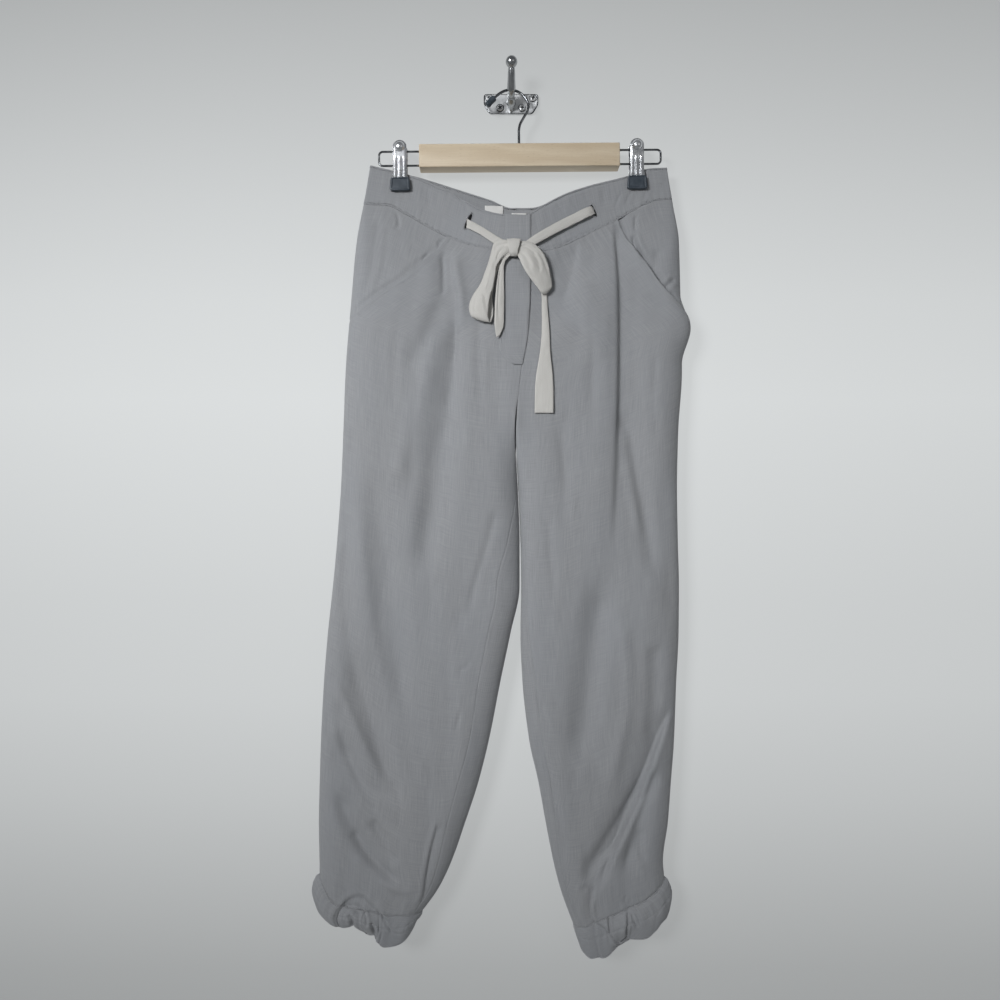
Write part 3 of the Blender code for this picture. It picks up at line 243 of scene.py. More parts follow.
# Smaller creases: kind, width, depth and the x and height of each point of its path. A soft one is a
# trough, a pinch a narrow trough between two small ridges, and a tuck drops steeply towards the wearer's left
# of a path that runs down, or towards the right where its width is negative.
creaseRows = {
    ("right", "leg"): (
        ("pinch", 2.6, 2.0, (-90, -206, -88, -231, -87, -268)),
        ("tuck", -5, 3.2, (-78, -204, -75, -240, -70, -262, -69, -298, -72, -377)),
        ("pinch", 2, 1.3, (-148, -155, -149, -176, -154, -178)),
        ("pinch", 1.7, 1.3, (-87, -189, -93, -194, -95, -202)),
        ("pinch", 1.7, 1.3, (-106, -209, -112, -215, -116, -219)),
        ("soft", 5, 0.8, (-171, -162, -179, -222, -187, -271)),
        ("soft", 4, 0.7, (-159, -171, -164, -230, -174, -266)),
        ("soft", 6, 0.9, (-142, -273, -147, -337, -152, -426)),
        ("soft", 5, 1.2, (-213, -579, -216, -642, -220, -684)),
        ("soft", 7, 1.0, (-117, -350, -127, -439, -129, -528)), ("soft", 6, 0.9, (-40, -273, -43, -350, -38, -426)),
        ("soft", 5, 1.2, (-19, -536, -29, -579, -45, -631, -58, -683)),
        ("pinch", 2.5, 0.7, (-52, -734, -62, -743, -71, -748)),
        ("pinch", 2.5, 0.7, (-64, -795, -68, -809, -71, -822)),
        ("pinch", 4, 0.9, (-152, -885, -145, -904, -137, -921)),
        ("soft", 6, 3.0, (-205, -949, -190, -975, -173, -994, -156, -1007, -139, -1016)),
        ("soft", 3.5, -1.5, (-169, -1012, -155, -1019, -138, -1025, -124, -1027)),
        ("soft", 6, 2.2, (-179, -936, -167, -959, -156, -976, -142, -993)),
        ("soft", 10, 2.0, (-95, -274, -108, -312, -131, -368)),
        ("soft", 9, 2.0, (-78, -243, -71, -312, -74, -375, -87, -430)),
        ("soft", 15, 2.2, (-87, -417, -102, -500, -109, -563, -113, -632)),
        ("soft", 14, -2.2, (-106, -347, -130, -444, -151, -514)),
        ("soft", 12, 1.2, (-179, -486, -158, -611, -141, -751, -137, -806)),
        ("soft", 10, -1.4, (-193, -528, -186, -639, -165, -744, -137, -834)),
        ("soft", 12, 2.2, (-214, -570, -207, -709, -179, -813, -144, -918)),
        ("soft", 5, -1.5, (-228, -751, -200, -813, -158, -904)),
        ("soft", 8, 1.4, (-228, -778, -193, -883, -137, -918)),
        ("soft", 6, -1.8, (-235, -806, -186, -918, -130, -980)),
        ("soft", 9, 1.6, (-235, -848, -207, -939, -144, -1001)),
        ("soft", 6, -1.5, (-200, -980, -168, -1005, -137, -1029)),
        ("tuck", 3.0, 2.2, (-93, -935, -103, -972, -110, -1008, -113, -1030, -121, -1052)),
        ("soft", 7, 2.2, (-204, -437, -217, -605, -228, -688)),
    ),
    ("left", "leg"): (
        ("tuck", 2.6, 1.2, (133, -168, 134, -193, 137, -291, 136, -380, 133, -470)),
        ("tuck", -9, 2.0, (88, -193, 84, -223, 76, -253, 65, -278)),
        ("pinch", 3, 2.6, (158, -183, 163, -204, 172, -222)), ("pinch", 3, 1.8, (210, -244, 201, -252, 196, -258)),
        ("soft", 6, 1.4, (189, -204, 186, -221, 184, -234)), ("pinch", 2, 1.1, (162, -158, 161, -169, 161, -181)),
        ("soft", 5, 1.0, (46, -547, 50, -599, 55, -654)), ("soft", 6, 0.8, (62, -439, 66, -503, 64, -566)),
        ("soft", 6, 0.9, (100, -273, 103, -336, 100, -426)), ("soft", 5, 0.9, (184, -336, 181, -400, 185, -464)),
        ("tuck", -3.5, 1.4, (13, -557, 15, -622, 19, -674, 24, -728, 33, -770, 57, -838)),
        ("soft", 4, 1.3, (43, -851, 53, -902, 62, -943, 71, -990)),
        ("tuck", -4, 3.2, (207, -788, 184, -850, 152, -934, 128, -974, 112, -993, 107, -1012, 106, -1040)),
        ("soft", 7, 2.4, (184, -868, 178, -896, 161, -942, 147, -989, 143, -1012)),
        ("soft", 5, 1.5, (165, -948, 164, -969, 168, -990)), ("soft", 3, -1.2, (157, -977, 162, -987, 168, -1000)),
        ("pinch", 1.8, 1.8, (86, -1025, 93, -1023, 102, -1025)), ("soft", 16, 2.2, (79, -222, 72, -263, 58, -305)),
        ("soft", 13, -1.8, (93, -243, 101, -305, 107, -361)), ("soft", 9, 1.3, (65, -417, 68, -472, 72, -528)),
        ("soft", 10, 3.0, (141, -410, 155, -472, 176, -570, 183, -639)),
        ("soft", 8, 3.2, (170, -890, 140, -935, 116, -972, 100, -1000, 97, -1030)),
        ("soft", 7, -1.8, (143, -430, 152, -500, 164, -584)),
        ("soft", 16, 2.2, (120, -639, 110, -709, 100, -778, 79, -883)),
        ("soft", 9, -2.0, (141, -674, 148, -778, 120, -918)), ("soft", 9, 2.2, (183, -709, 182, -778, 176, -848)),
        ("soft", 8, -1.8, (176, -904, 157, -946, 134, -987)),
    ),
    ("right", "band"): (
        ("pinch", 2.2, 0.7, (-68, -132, -60, -145, -56, -156)),
        ("pinch", 2.0, 0.6, (-52, -157, -43, -166, -35, -174)),
        ("soft", 5, 0.7, (-112, -121, -108, -138, -105, -154)),
        ("soft", 6, 0.7, (-147, -113, -143, -128, -139, -144)),
    ),
    ("left", "band"): (
        ("pinch", 2.0, 0.7, (144, -127, 139, -136, 135, -148)),
        ("pinch", 2.0, 0.7, (159, -122, 152, -135, 148, -145)),
        ("pinch", 2.2, 0.6, (176, -127, 173, -134, 172, -142)), ("pinch", 2.0, 0.7, (58, -142, 63, -150, 69, -154)),
        ("pinch", 2.0, 0.6, (78, -136, 81, -145, 87, -150)), ("soft", 5, 0.7, (120, -122, 120, -134, 122, -144)),
    ),
    ("right", "cuff"): (
        ("tuck", -2.6, 2.6, (-222, -1049, -212, -1039, -203, -1033, -190, -1031, -180, -1041, -163, -1056, -153,
         -1068)),
        ("tuck", -2.0, 2.2, (-219, -1048, -209, -1043, -200, -1043, -187, -1050, -183, -1058, -185, -1074)),
        ("pinch", 1.5, 1.3, (-216, -1052, -200, -1050, -190, -1054)),
        ("pinch", 2.6, 2.6, (-207, -1053, -202, -1060, -201, -1070)),
        ("pinch", 1.7, 1.5, (-219, -1052, -213, -1058, -209, -1066)),
        ("pinch", 2.0, 1.8, (-178, -1062, -174, -1074, -171, -1090)),
        ("pinch", 1.6, 1.2, (-176, -1050, -164, -1057, -158, -1068, -148, -1079, -135, -1079, -122, -1063)),
        ("pinch", 1.1, 0.5, (-246, -1032, -234, -1046, -218, -1059)),
    ),
    ("left", "cuff"): (
        ("tuck", -2.4, 2.6, (108, -1018, 101, -1046, 103, -1061, 118, -1072, 133, -1092)),
        ("pinch", 1.6, 1.6, (124, -1054, 124, -1066, 127, -1080, 137, -1091, 145, -1084, 147, -1066)),
        ("pinch", 1.8, 1.6, (148, -1050, 147, -1064, 144, -1082)),
        ("pinch", 1.6, 1.4, (151, -1052, 155, -1061, 160, -1069)),
        ("pinch", 1.3, 1.3, (133, -1039, 142, -1035, 152, -1037)),
        ("pinch", 1.3, 1.2, (139, -1043, 149, -1041, 159, -1044)),
        ("pinch", 1.2, 1.0, (149, -1045, 155, -1045, 161, -1049)),
        ("pinch", 1.2, 0.8, (171, -1036, 182, -1028, 193, -1018)),
        ("pinch", 1.2, 0.8, (182, -1057, 189, -1049, 197, -1038)),
    ),
    ("loopLeft", "bow"): (
        ("tuck", -1.6, 2.3, (10, -205.6, 18, -204, 27, -209.5, 33, -220.4, 37, -233, 35, -243)),
        ("pinch", 1.0, 1.3, (15, -201, 25.6, -204, 36, -214, 43.5, -229, 47, -244.7)),
        ("pinch", 0.9, 0.7, (23, -230.6, 25, -239.6, 26, -248)),
        ("soft", 1.6, 1.4, (10, -212.7, 16.6, -218, 21.7, -229, 24.3, -238)),
        ("soft", 2.2, -1.1, (16.6, -212.7, 24.3, -223, 29.4, -236)),
    ),
    ("loopRight", "bow"): (
        ("pinch", 1.0, 1.2, (-3.7, -205.6, -10, -202.7, -18, -205, -22, -212.7)),
        ("pinch", 0.9, 1.3, (-3.7, -208, -11.6, -208.8, -17, -216, -20, -225.5)),
        ("tuck", 1.0, 1.4, (-3.7, -210.8, -10, -216, -14.4, -224, -18, -233)),
        ("soft", 1.6, -0.9, (-24.4, -223, -28, -241, -32, -256, -35, -268)),
        ("tuck", 1.6, 1.2, (-36, -267, -34.7, -279, -32, -291, -29, -299)),
        ("pinch", 1.0, 1.0, (-47.5, -283, -45, -290, -40, -294.7)),
        ("soft", 1.8, 0.8, (-43.7, -264, -46, -275.5, -46, -284.5)),
    ),
    ("strandRight", "bow"): (
        ("tuck", 1.2, 1.1, (-13.7, -229, -16, -244, -17.3, -262, -18, -280, -18, -306)),
        ("pinch", 0.8, 0.7, (-1.3, -214.6, -7, -218, -11.6, -224)),
    ),
}
drape = {
    "folds": 1.08, "leg": 1.4, "band": 0.8, "cuff": 1.5, "back": 0.9, "backShift": 34.0, "from": 6.0, "over": 26.0,
    "long": 0.9, "longWide": 21.0, "longTall": 95.0, "short": 0.3, "shortWide": 8.0, "shortTall": 34.0,
    "seeds": {"front": 11, "back": 23},
}


def signOf(leg):  # which way along x a leg's outer side lies
    return -1.0 if leg == "right" else 1.0


def edgeRound(distance, width):  # share of the full depth at a distance from a rounded edge: quarter ellipse
    return np.sqrt(1 - (1 - np.clip(distance / width, 0.0, 1.0)) ** 2)


def innerEdge(leg, side, height):  # the inner leg, and above the crotch the middle line
    edge = column(legRows[leg], legColumns, "inner", height)
    if side == "back":
        edge = edge + (cloth["backCentre"] - edge) * ease((height - divide["back"]) / divide["backBlend"])
    joined = ease((height - divide["front"]) / divide["frontBlend"])
    clearance = divide["openGap"] + (divide["closedGap"] - divide["openGap"]) * joined
    return edge + signOf(leg) * clearance


def outerEdge(leg, side, height):  # the side seam, flared in front where the left pocket stands open
    edge = column(legRows[leg], legColumns, "outer", height)
    if leg == "left" and side == "front":
        rise = ease((height - openPocket["foot"]) / openPocket["footBlend"])
        fall = ease((openPocket["flareHead"] - height) / openPocket["flareBlend"])
        edge = edge + openPocket["flare"] * rise * fall
    return edge


foldEnds = {"start": 0.22, "end": 0.25, "crispLead": 0.02, "crispStart": 0.1, "crispEnd": 0.3}
foldEdge = {"steep": 2.6, "tail": 0.9, "ridge": 0.22, "ridgeAt": 0.8, "ridgeSharp": 2.0}


def foldDepth(leg, side, x, height):  # how far the pleats and large folds let the cloth fall back
    # A soft fold is a bell across. A crisp one has a low ridge, drops at once past it, then dies away.
    total = np.zeros(np.broadcast(x, height).shape)
    for row in foldRows[leg, side]:
        fold = dict(zip(foldColumns, row))
        span = (fold["z0"] - height) / (fold["z0"] - fold["z2"])
        middle = (fold["z0"] - fold["z1"]) / (fold["z0"] - fold["z2"])
        line = (
            fold["x0"] * (span - middle) * (span - 1) / middle
            + fold["x1"] * span * (span - 1) / (middle * (middle - 1))
            + fold["x2"] * span * (span - middle) / (1 - middle)
        )
        off = (x - line) / fold["width"]
        ends = ease(span / foldEnds["start"]) * ease((1 - span) / foldEnds["end"])
        if fold["crisp"]:
            off = off * fold["crisp"]
            drop = ease(off * foldEdge["steep"] + 0.5)
            ridge = foldEdge["ridge"] * np.exp(-foldEdge["ridgeSharp"] * (off + foldEdge["ridgeAt"]) ** 2)
            shape = drop * np.exp(-foldEdge["tail"] * np.maximum(off, 0.0)) - ridge
            if fold["crisp"] > 0:
                started = ease((span + foldEnds["crispLead"]) / foldEnds["crispStart"])
                ends = started * ease((1 - span) / foldEnds["crispEnd"])
        else:
            shape = np.exp(-off * off)
        total = total + fold["depth"] * shape * ends
    return total


# A crease's path has this many points, and it is felt as many widths away as its reach says.
creaseForm = {
    "points": 25, "reach": 4.0, "start": 0.12, "end": 0.22, "pinchAt": 1.9, "pinchRim": 0.4, "rimWide": 0.9,
    "ridge": 0.35, "ridgeAt": 1.1, "stepFrom": 0.35, "stepOver": 0.7, "tail": 2.2,
}


def creaseShape(kind, off):  # height of a crease's cross section at a signed distance, in widths
    if kind == "soft":
        return np.exp(-off * off)
    if kind == "pinch":
        rims = np.exp(-((np.abs(off) - creaseForm["pinchAt"]) / creaseForm["rimWide"]) ** 2)
        return np.exp(-off * off) - creaseForm["pinchRim"] * rims
    ridge = creaseForm["ridge"] * np.exp(-((off + creaseForm["ridgeAt"]) / creaseForm["rimWide"]) ** 2)
    step = ease((off + creaseForm["stepFrom"]) / creaseForm["stepOver"])
    return step * np.exp(-np.maximum(off, 0.0) / creaseForm["tail"]) - ridge


def creaseField(leg, part, x, height):
    # Each crease adds its cross section at the nearest point of its path, and fades towards its ends.
    x, height = np.broadcast_arrays(x, height)
    total = np.zeros(x.shape)
    for kind, width, depth, path in creaseRows.get((leg, part), ()):
        line = through(np.reshape(path, (-1, 2)), creaseForm["points"])
        reach = creaseForm["reach"] * abs(width)
        low, high = line.min(axis=0) - reach, line.max(axis=0) + reach
        near = (x > low[0]) & (x < high[0]) & (height > low[1]) & (height < high[1])
        if not near.any():
            continue
        start, step = line[:-1], np.diff(line, axis=0)
        offX = x[near][:, None] - start[:, 0]
        offZ = height[near][:, None] - start[:, 1]
        t = np.clip((offX * step[:, 0] + offZ * step[:, 1]) / (step ** 2).sum(axis=1), 0, 1)
        distance = np.hypot(offX - t * step[:, 0], offZ - t * step[:, 1])
        best = distance.argmin(axis=1)
        pick = (np.arange(len(best)), best)
        facingSide = np.sign(step[best, 0] * offZ[pick] - step[best, 1] * offX[pick])
        share = (best + t[pick]) / len(step)
        off = distance[pick] * facingSide / width
        fade = ease(share / creaseForm["start"]) * ease((1 - share) / creaseForm["end"])
        total[near] += depth * creaseShape(kind, off) * fade
    return total


def gatherDepth(leg, side, along, height, x):  # waves that run up from the hem and die out
    near = ease((curveFrom(hem[leg], x) + gathers["rise"] - height) / gathers["rise"])
    shift = gathers[side]
    uneven = gathers["uneven"] * np.sin(4 * math.pi * along + shift)
    return gathers["depth"][side] * near * np.sin(2 * math.pi * (gathers["count"] * along + uneven) + shift)


def depthAt(leg, side, x, height):  # depth of the middle of the cloth on the front or back
    read = {name: column(depthRows, depthColumns, name, height) for name in depthColumns[1:]}
    outer, inner = outerEdge(leg, side, height), innerEdge(leg, side, height)
    fromOuter, fromInner = np.abs(x - outer), np.abs(x - inner)
    seam = curveFrom(waistSeam, x)
    waist = 1 - ease((seam + cloth["waistEase"] - height) / cloth["hipBlend"])
    bow = np.cos(np.clip((x - cloth["waistCentre"]) / cloth["waistHalf"], -1, 1) * math.pi / 2) ** 2
    full = np.abs(read[side] - read["middle"])
    reach = cloth["pinch"] + (full - cloth["pinch"]) * (waist * bow + 1 - waist)
    outerRound = edgeRound(fromOuter, read["edge"])
    openBody = ease((height - cloth["crotch"]) / cloth["crotchBlend"])
    innerRound = openBody + (1 - openBody) * edgeRound(fromInner, cloth["innerEdge"])
    flat = read["lap"] + (np.maximum(reach, read["lap"]) - read["lap"]) * outerRound
    away = flat * innerRound
    calm = outerRound ** 2 * (openBody + (1 - openBody) * innerRound ** 2)
    below = ease((seam - height + drape["from"]) / drape["over"])
    across = fromOuter / np.maximum(fromOuter + fromInner, 1.0)
    folds = drape["folds"] * foldDepth(leg, side, x, height) * below - gatherDepth(leg, side, across, height, x)
    if side == "front":
        creases = sum(drape[part] * creaseField(leg, part, x, height) for part in ("leg", "band", "cuff"))
    else:
        creases = drape["back"] * below * creaseField(leg, "leg", outer + inner - x, height + drape["backShift"])
    folds = folds + creases
    seed = drape["seeds"][side]
    folds = folds + drape["long"] * below * softNoise(x / drape["longWide"], height / drape["longTall"], seed)
    folds = folds + drape["short"] * softNoise(x / drape["shortWide"], height / drape["shortTall"], seed + 1)
    away = away - np.minimum(folds * calm, cloth["deepest"] * away)
    return read["middle"] + (1.0 if side == "front" else -1.0) * away


def frontFace(x, height):  # depth of the front cloth's middle at any point of the body
    x, height = np.broadcast_arrays(np.asarray(x, float), np.asarray(height, float))
    centre = innerEdge("right", "front", height)
    right = depthAt("right", "front", np.minimum(x, centre), height)
    left = depthAt("left", "front", np.maximum(x, centre), height)
    return np.where(x < centre, right, left)


# Every panel is read from fine sections of that surface, by distance along the cloth

fine = {"levels": 760, "across": 241, "top": -84.0, "foot": -1126.0, "shares": 481}
levels = np.linspace(fine["foot"], fine["top"], fine["levels"])
faces = {}
tables = {}


def faceSection(leg, side):  # x and depth on every level, closest together at both edges
    if (leg, side) not in faces:
        turn = (1 - np.cos(np.linspace(0, math.pi, fine["across"]))) / 2
        outer = outerEdge(leg, side, levels[:, None])
        x = outer + (innerEdge(leg, side, levels[:, None]) - outer) * turn
        faces[leg, side] = (x, depthAt(leg, side, x, levels[:, None]))
    return faces[leg, side]


def distanceAlong(x, depth):  # distance along each level
    step = np.hypot(np.diff(x, axis=1), np.diff(depth, axis=1))
    return np.concatenate((np.zeros((len(x), 1)), np.cumsum(step, axis=1)), axis=1)


def readSection(x, depth, run, target):  # x and depth of each section at the distances asked for
    return np.stack((readRows(run, x, target), readRows(run, depth, target)), axis=-1)


def wholeSection(leg, side, first, last):  # a face at even shares of its whole width
    x, depth = faceSection(leg, side)
    run = distanceAlong(x, depth)
    return readSection(x, depth, run, run[:, -1:] * np.linspace(first, last, fine["shares"]))


def mouthAt(leg, height):  # x of a pocket's mouth at a height
    return curveFrom([(z, x) for x, z in pocketMouth[leg]], height)


def clothTable(leg, kind):  # x and depth on every level, at even shares of the way across a panel
    if (leg, kind) in tables:
        return tables[leg, kind]
    x, depth = faceSection(leg, "front")
    run = distanceAlong(x, depth)
    wrap = column(legRows[leg], legColumns, "wrap", levels) * ease((divide["wrap"] - levels) / divide["wrapBlend"])
    fromInner = -np.abs(x - x[:, -1:])
    seam = readRows(fromInner, run, -wrap[:, None])[:, 0]
    parted = levels < divide["wrap"]
    start = np.zeros(len(levels))
    stop = np.where(parted, seam - cloth["seam"] / 2, run[:, -1])
    if kind == "back":
        backX, backDepth = faceSection(leg, "back")
        x = np.concatenate((x, backX[:, ::-1]), axis=1)
        depth = np.concatenate((depth, backDepth[:, ::-1]), axis=1)
        run = distanceAlong(x, depth)
        start = np.where(parted, seam + cloth["seam"] / 2, run[:, fine["across"]])
        stop = run[:, -1]
    if kind in ("front", "facing"):
        mouth = mouthAt(leg, levels)
        fromOuter = np.abs(x - x[:, :1])
        inside = (np.abs(mouth - x[:, -1]) < fromOuter[:, -1]) & (levels > pocketMouth[leg][-1][1])
        atMouth = readRows(fromOuter, run, np.abs(mouth - x[:, 0])[:, None])[:, 0] * inside
        start, stop = (atMouth, stop) if kind == "front" else (start, atMouth + facing["lap"])
    target = start[:, None] + (stop - start)[:, None] * np.linspace(0, 1, fine["shares"])
    tables[leg, kind] = readSection(x, depth, run, target)
    return tables[leg, kind]


def readTable(table, share, height):  # linear between levels and between shares
    share, height = np.broadcast_arrays(share, height)
    row = np.clip((height - fine["foot"]) / (levels[1] - levels[0]), 0, fine["levels"] - 1.001)
    step = np.clip(share, 0, 1) * (fine["shares"] - 1.001)
    i, j = row.astype(int), step.astype(int)
    f, g = (row - i)[..., None], (step - j)[..., None]
    lower = table[i, j] * (1 - g) + table[i, j + 1] * g
    upper = table[i + 1, j] * (1 - g) + table[i + 1, j + 1] * g
    return lower * (1 - f) + upper * f


def edgeHeights(table, share, edge, offset):  # where each share of a panel meets an edge, by repeated reading
    height = np.full(len(share), float(np.mean([z for _, z in edge])))
    for _ in range(10):
        height = curveFrom(edge, readTable(table, share, height)[:, 0]) + offset
    return height


def spreadShares(count, length, near=(0.4, 1.0, 2.0)):  # even shares, with close ones at both edges
    close = np.array(near) / length
    return np.concatenate(([0.0], close, np.linspace(0, 1, count)[1:-1], 1 - close[::-1], [1.0]))


def panel(table, share, top, foot, down):  # top and foot are edges with an offset, or plain heights
    top, foot = (edgeHeights(table, share, *edge) if isinstance(edge, tuple) else edge for edge in (top, foot))
    height = top + (foot - top) * down[:, None]
    return np.concatenate((readTable(table, share, height), height[..., None]), axis=-1)


def gridRun(points, axis):  # distance along the rows or the columns of a grid
    step = np.linalg.norm(np.diff(points, axis=axis), axis=-1)
    first = np.zeros_like(np.take(step, [0], axis=axis))
    return np.concatenate((first, np.cumsum(step, axis=axis)), axis=axis)


def outward(points, depthSign):  # unit normals of a grid, on the side whose depth sign is asked for
    normal = unit(np.cross(np.gradient(points, axis=1), np.gradient(points, axis=0)))
    middle = normal[points.shape[0] // 2, points.shape[1] // 2 if depthSign > 0 else points.shape[1] * 2 // 3, 1]
    return normal * (1.0 if middle * depthSign > 0 else -1.0)


seamRoll = {"depth": 0.26, "width": 0.9, "pucker": 0.35, "wave": 9.0, "fade": 7.0}


def rollEdges(points, depthSign, sides):
    # At a seam the cloth turns in, and small puckers run off it: both are waves of the distance to the edge.
    normal = outward(points, depthSign)
    across, down = gridRun(points, 1), gridRun(points, 0)
    for side in sides:
        run, other = (across, down) if side in ("first", "last") else (down, across)
        if side == "last":
            run = run[:, -1:] - run
        if side == "foot":
            run = run[-1:] - run
        wave = np.sin(2 * math.pi * other / seamRoll["wave"] + 1.7 * np.sin(other / 23.0))
        pucker = seamRoll["pucker"] * wave * np.exp(-run / seamRoll["fade"]) * (1 - np.exp(-run / 1.5))
        roll = seamRoll["depth"] * np.exp(-(run / seamRoll["width"]) ** 2)
        points = points + normal * (pucker - roll)[..., None]
    return points


# Meshes from grids


def makeMesh(name, vertices, faceList, uv, slot):
    mesh = bpy.data.meshes.new(name)
    mesh.from_pydata(place(vertices).tolist(), [], faceList.tolist())
    if uv is not None:
        layer = mesh.uv_layers.new(name="cloth")
        corner = np.zeros(len(mesh.loops), int)
        mesh.loops.foreach_get("vertex_index", corner)
        layer.data.foreach_set("uv", (uv * mm)[corner].ravel())
    mesh.shade_smooth()
    mesh.materials.append(materials[slot])
    piece = bpy.data.objects.new(name, mesh)
    bpy.context.scene.collection.objects.link(piece)
    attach(piece, "root")
    return piece


def gridFaces(rows, columns, roundRows=False, roundColumns=False):  # quads, joined up where it is round
    i = np.arange(rows if roundRows else rows - 1)[:, None]
    j = np.arange(columns if roundColumns else columns - 1)[None, :]
    down, on = (i + 1) % rows, (j + 1) % columns
    corners = (i * columns + j, i * columns + on, down * columns + on, down * columns + j)
    return np.stack([np.broadcast_to(c, (i.size, j.size)) for c in corners], axis=-1).reshape(-1, 4)


def addWall(piece, wall):
    thick = piece.modifiers.new("wall", "SOLIDIFY")
    thick.thickness = wall * mm
    thick.offset = 0.0


def gridPiece(name, points, slot, wall=0.0, replaced=(), roundRows=False, roundColumns=False):
    rows, columns = points.shape[:2]
    uv = np.stack((gridRun(points, 1), -gridRun(points, 0)), axis=-1).reshape(-1, 2)
    piece = makeMesh(name, points.reshape(-1, 3), gridFaces(rows, columns, roundRows, roundColumns), uv, slot)
    if wall:
        addWall(piece, wall)
    if replaced:
        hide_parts(*replaced)
    return piece


def fixNormals(piece):  # faces point outwards on a closed mesh
    work = bmesh.new()
    work.from_mesh(piece.data)
    bmesh.ops.recalc_face_normals(work, faces=work.faces)
    work.to_mesh(piece.data)
    work.free()


def areaOf(points):  # square metres of a grid
    across, down = np.diff(points, axis=1)[:-1], np.diff(points, axis=0)[:, :-1]
    return float(np.linalg.norm(np.cross(across, down), axis=-1).sum()) * mm * mm


# Materials: a wire carries a value through a material, and sums and products of wires add Math nodes

class Wire:
    def __init__(self, tree, socket=None):
        self.tree = tree
        self.socket = socket

    def node(self, kind, inputs, output=0, stops=None, **settings):
        made = self.tree.nodes.new(kind)
        for name, value in settings.items():
            setattr(made, name, value)
        if stops:
            ramp = made.color_ramp.elements
            for index, (position, colour) in enumerate(stops):
                stop = ramp[index] if index < 2 else ramp.new(position)
                stop.position = position
                stop.color = (*colour, 1.0)
        for name, value in inputs.items():
            if isinstance(value, Wire):
                self.tree.links.new(value.socket, made.inputs[name])
            else:
                made.inputs[name].default_value = value
        return Wire(self.tree, made.outputs[output])

    def maths(self, operation, first, second=0.0):
        return self.node("ShaderNodeMath", {0: first, 1: second}, operation=operation)

    def __add__(self, other):
        return self.maths("ADD", self, other)

    __radd__ = __add__

    def __mul__(self, other):
        return self.maths("MULTIPLY", self, other)

    __rmul__ = __mul__

    def __sub__(self, other):
        return self.maths("SUBTRACT", self, other)

    def __rsub__(self, other):
        return self.maths("SUBTRACT", other, self)

    def __abs__(self):
        return self.maths("ABSOLUTE", self)

    def sine(self):
        return self.maths("SINE", self)

    def parts(self):  # x, y and z of a vector
        split = self.node("ShaderNodeSeparateXYZ", {"Vector": self}).socket.node
        return [Wire(self.tree, socket) for socket in split.outputs]

    def between(self, low, high):  # 0 below low, 1 above high
        return self.node("ShaderNodeMapRange", {"Value": self, "From Min": low, "From Max": high})

    def blend(self, first, second):  # first colour where this is 0, second where it is 1
        return self.node("ShaderNodeMix", {0: self, 6: first, 7: second}, output=2, data_type="RGBA")


def newMaterial(name, **constants):
    made = bpy.data.materials.new(name)
    made.use_nodes = True
    shader = made.node_tree.nodes["Principled BSDF"]
    for socket, value in constants.items():
        shader.inputs[socket.replace("_", " ")].default_value = value
    return made, Wire(made.node_tree), shader


def plug(wire, shader, socket):
    wire.tree.links.new(wire.socket, shader.inputs[socket])


def dress(shader, colour, roughness, height, strength, distance=0.0003):
    bump = height.node("ShaderNodeBump", {"Height": height, "Strength": strength, "Distance": distance})
    plug(colour, shader, "Base Color")
    plug(roughness, shader, "Roughness")
    plug(bump, shader, "Normal")


def onCloth(start):  # the cloth's own coordinates, in metres along its weft and warp
    return start.node("ShaderNodeUVMap", {}, uv_map="cloth")


def inSpace(start):  # coordinates in the object's own space
    return start.node("ShaderNodeTexCoord", {}, output=3)


def stretched(start, coordinates, scale, detail=2.0, roughness=0.5):
    moved = start.node("ShaderNodeMapping", {"Vector": coordinates, "Scale": scale})
    return start.node("ShaderNodeTexNoise", {"Vector": moved, "Scale": 1.0, "Detail": detail, "Roughness": roughness})


linen = {
    "pitch": 0.00062, "dark": (0.238, 0.241, 0.250, 1), "light": (0.352, 0.356, 0.366, 1),
    "cool": (0.284, 0.296, 0.318, 1), "slubWide": 1150.0, "slubLong": 30.0, "bump": 0.17,
}


def linenMaterial():
    # Plain weave: a bump at each crossing of warp and weft, streaked along both by uneven threads.
    made, start, shader = newMaterial("linen", Roughness=0.92, Sheen_Weight=0.25, Sheen_Roughness=0.5, IOR=1.35)
    uv = onCloth(start)
    across, along, _ = uv.parts()
    wobble = stretched(start, uv, (240.0, 240.0, 1.0)) * (0.9 * linen["pitch"])
    turn = math.pi / linen["pitch"]
    weave = abs(((across + wobble) * turn).sine()) * abs(((along + wobble) * turn).sine())
    warp = stretched(start, uv, (linen["slubWide"], linen["slubLong"], 1.0), detail=3.0, roughness=0.6)
    weft = stretched(start, uv, (linen["slubLong"], linen["slubWide"], 1.0), detail=3.0, roughness=0.6)
    fibre = stretched(start, uv, (2600.0, 2600.0, 1.0), detail=1.0)
    tone = warp * 0.5 + weft * 0.36 + fibre * 0.14
    mottle = stretched(start, uv, (11.0, 5.0, 1.0), detail=3.0).between(0.35, 0.7)
    threads = tone.between(0.34, 0.66).blend(linen["dark"], linen["light"])
    shaded = (mottle * 0.35).blend(threads, linen["cool"])
    dress(shader, shaded, 0.84 + 0.12 * tone, weave * 0.16 + warp * 0.65 + weft * 0.5, linen["bump"])
    return made


tapeLook = {"pitch": 0.0009, "dark": (0.475, 0.46, 0.432, 1), "light": (0.595, 0.58, 0.55, 1), "bump": 0.22}


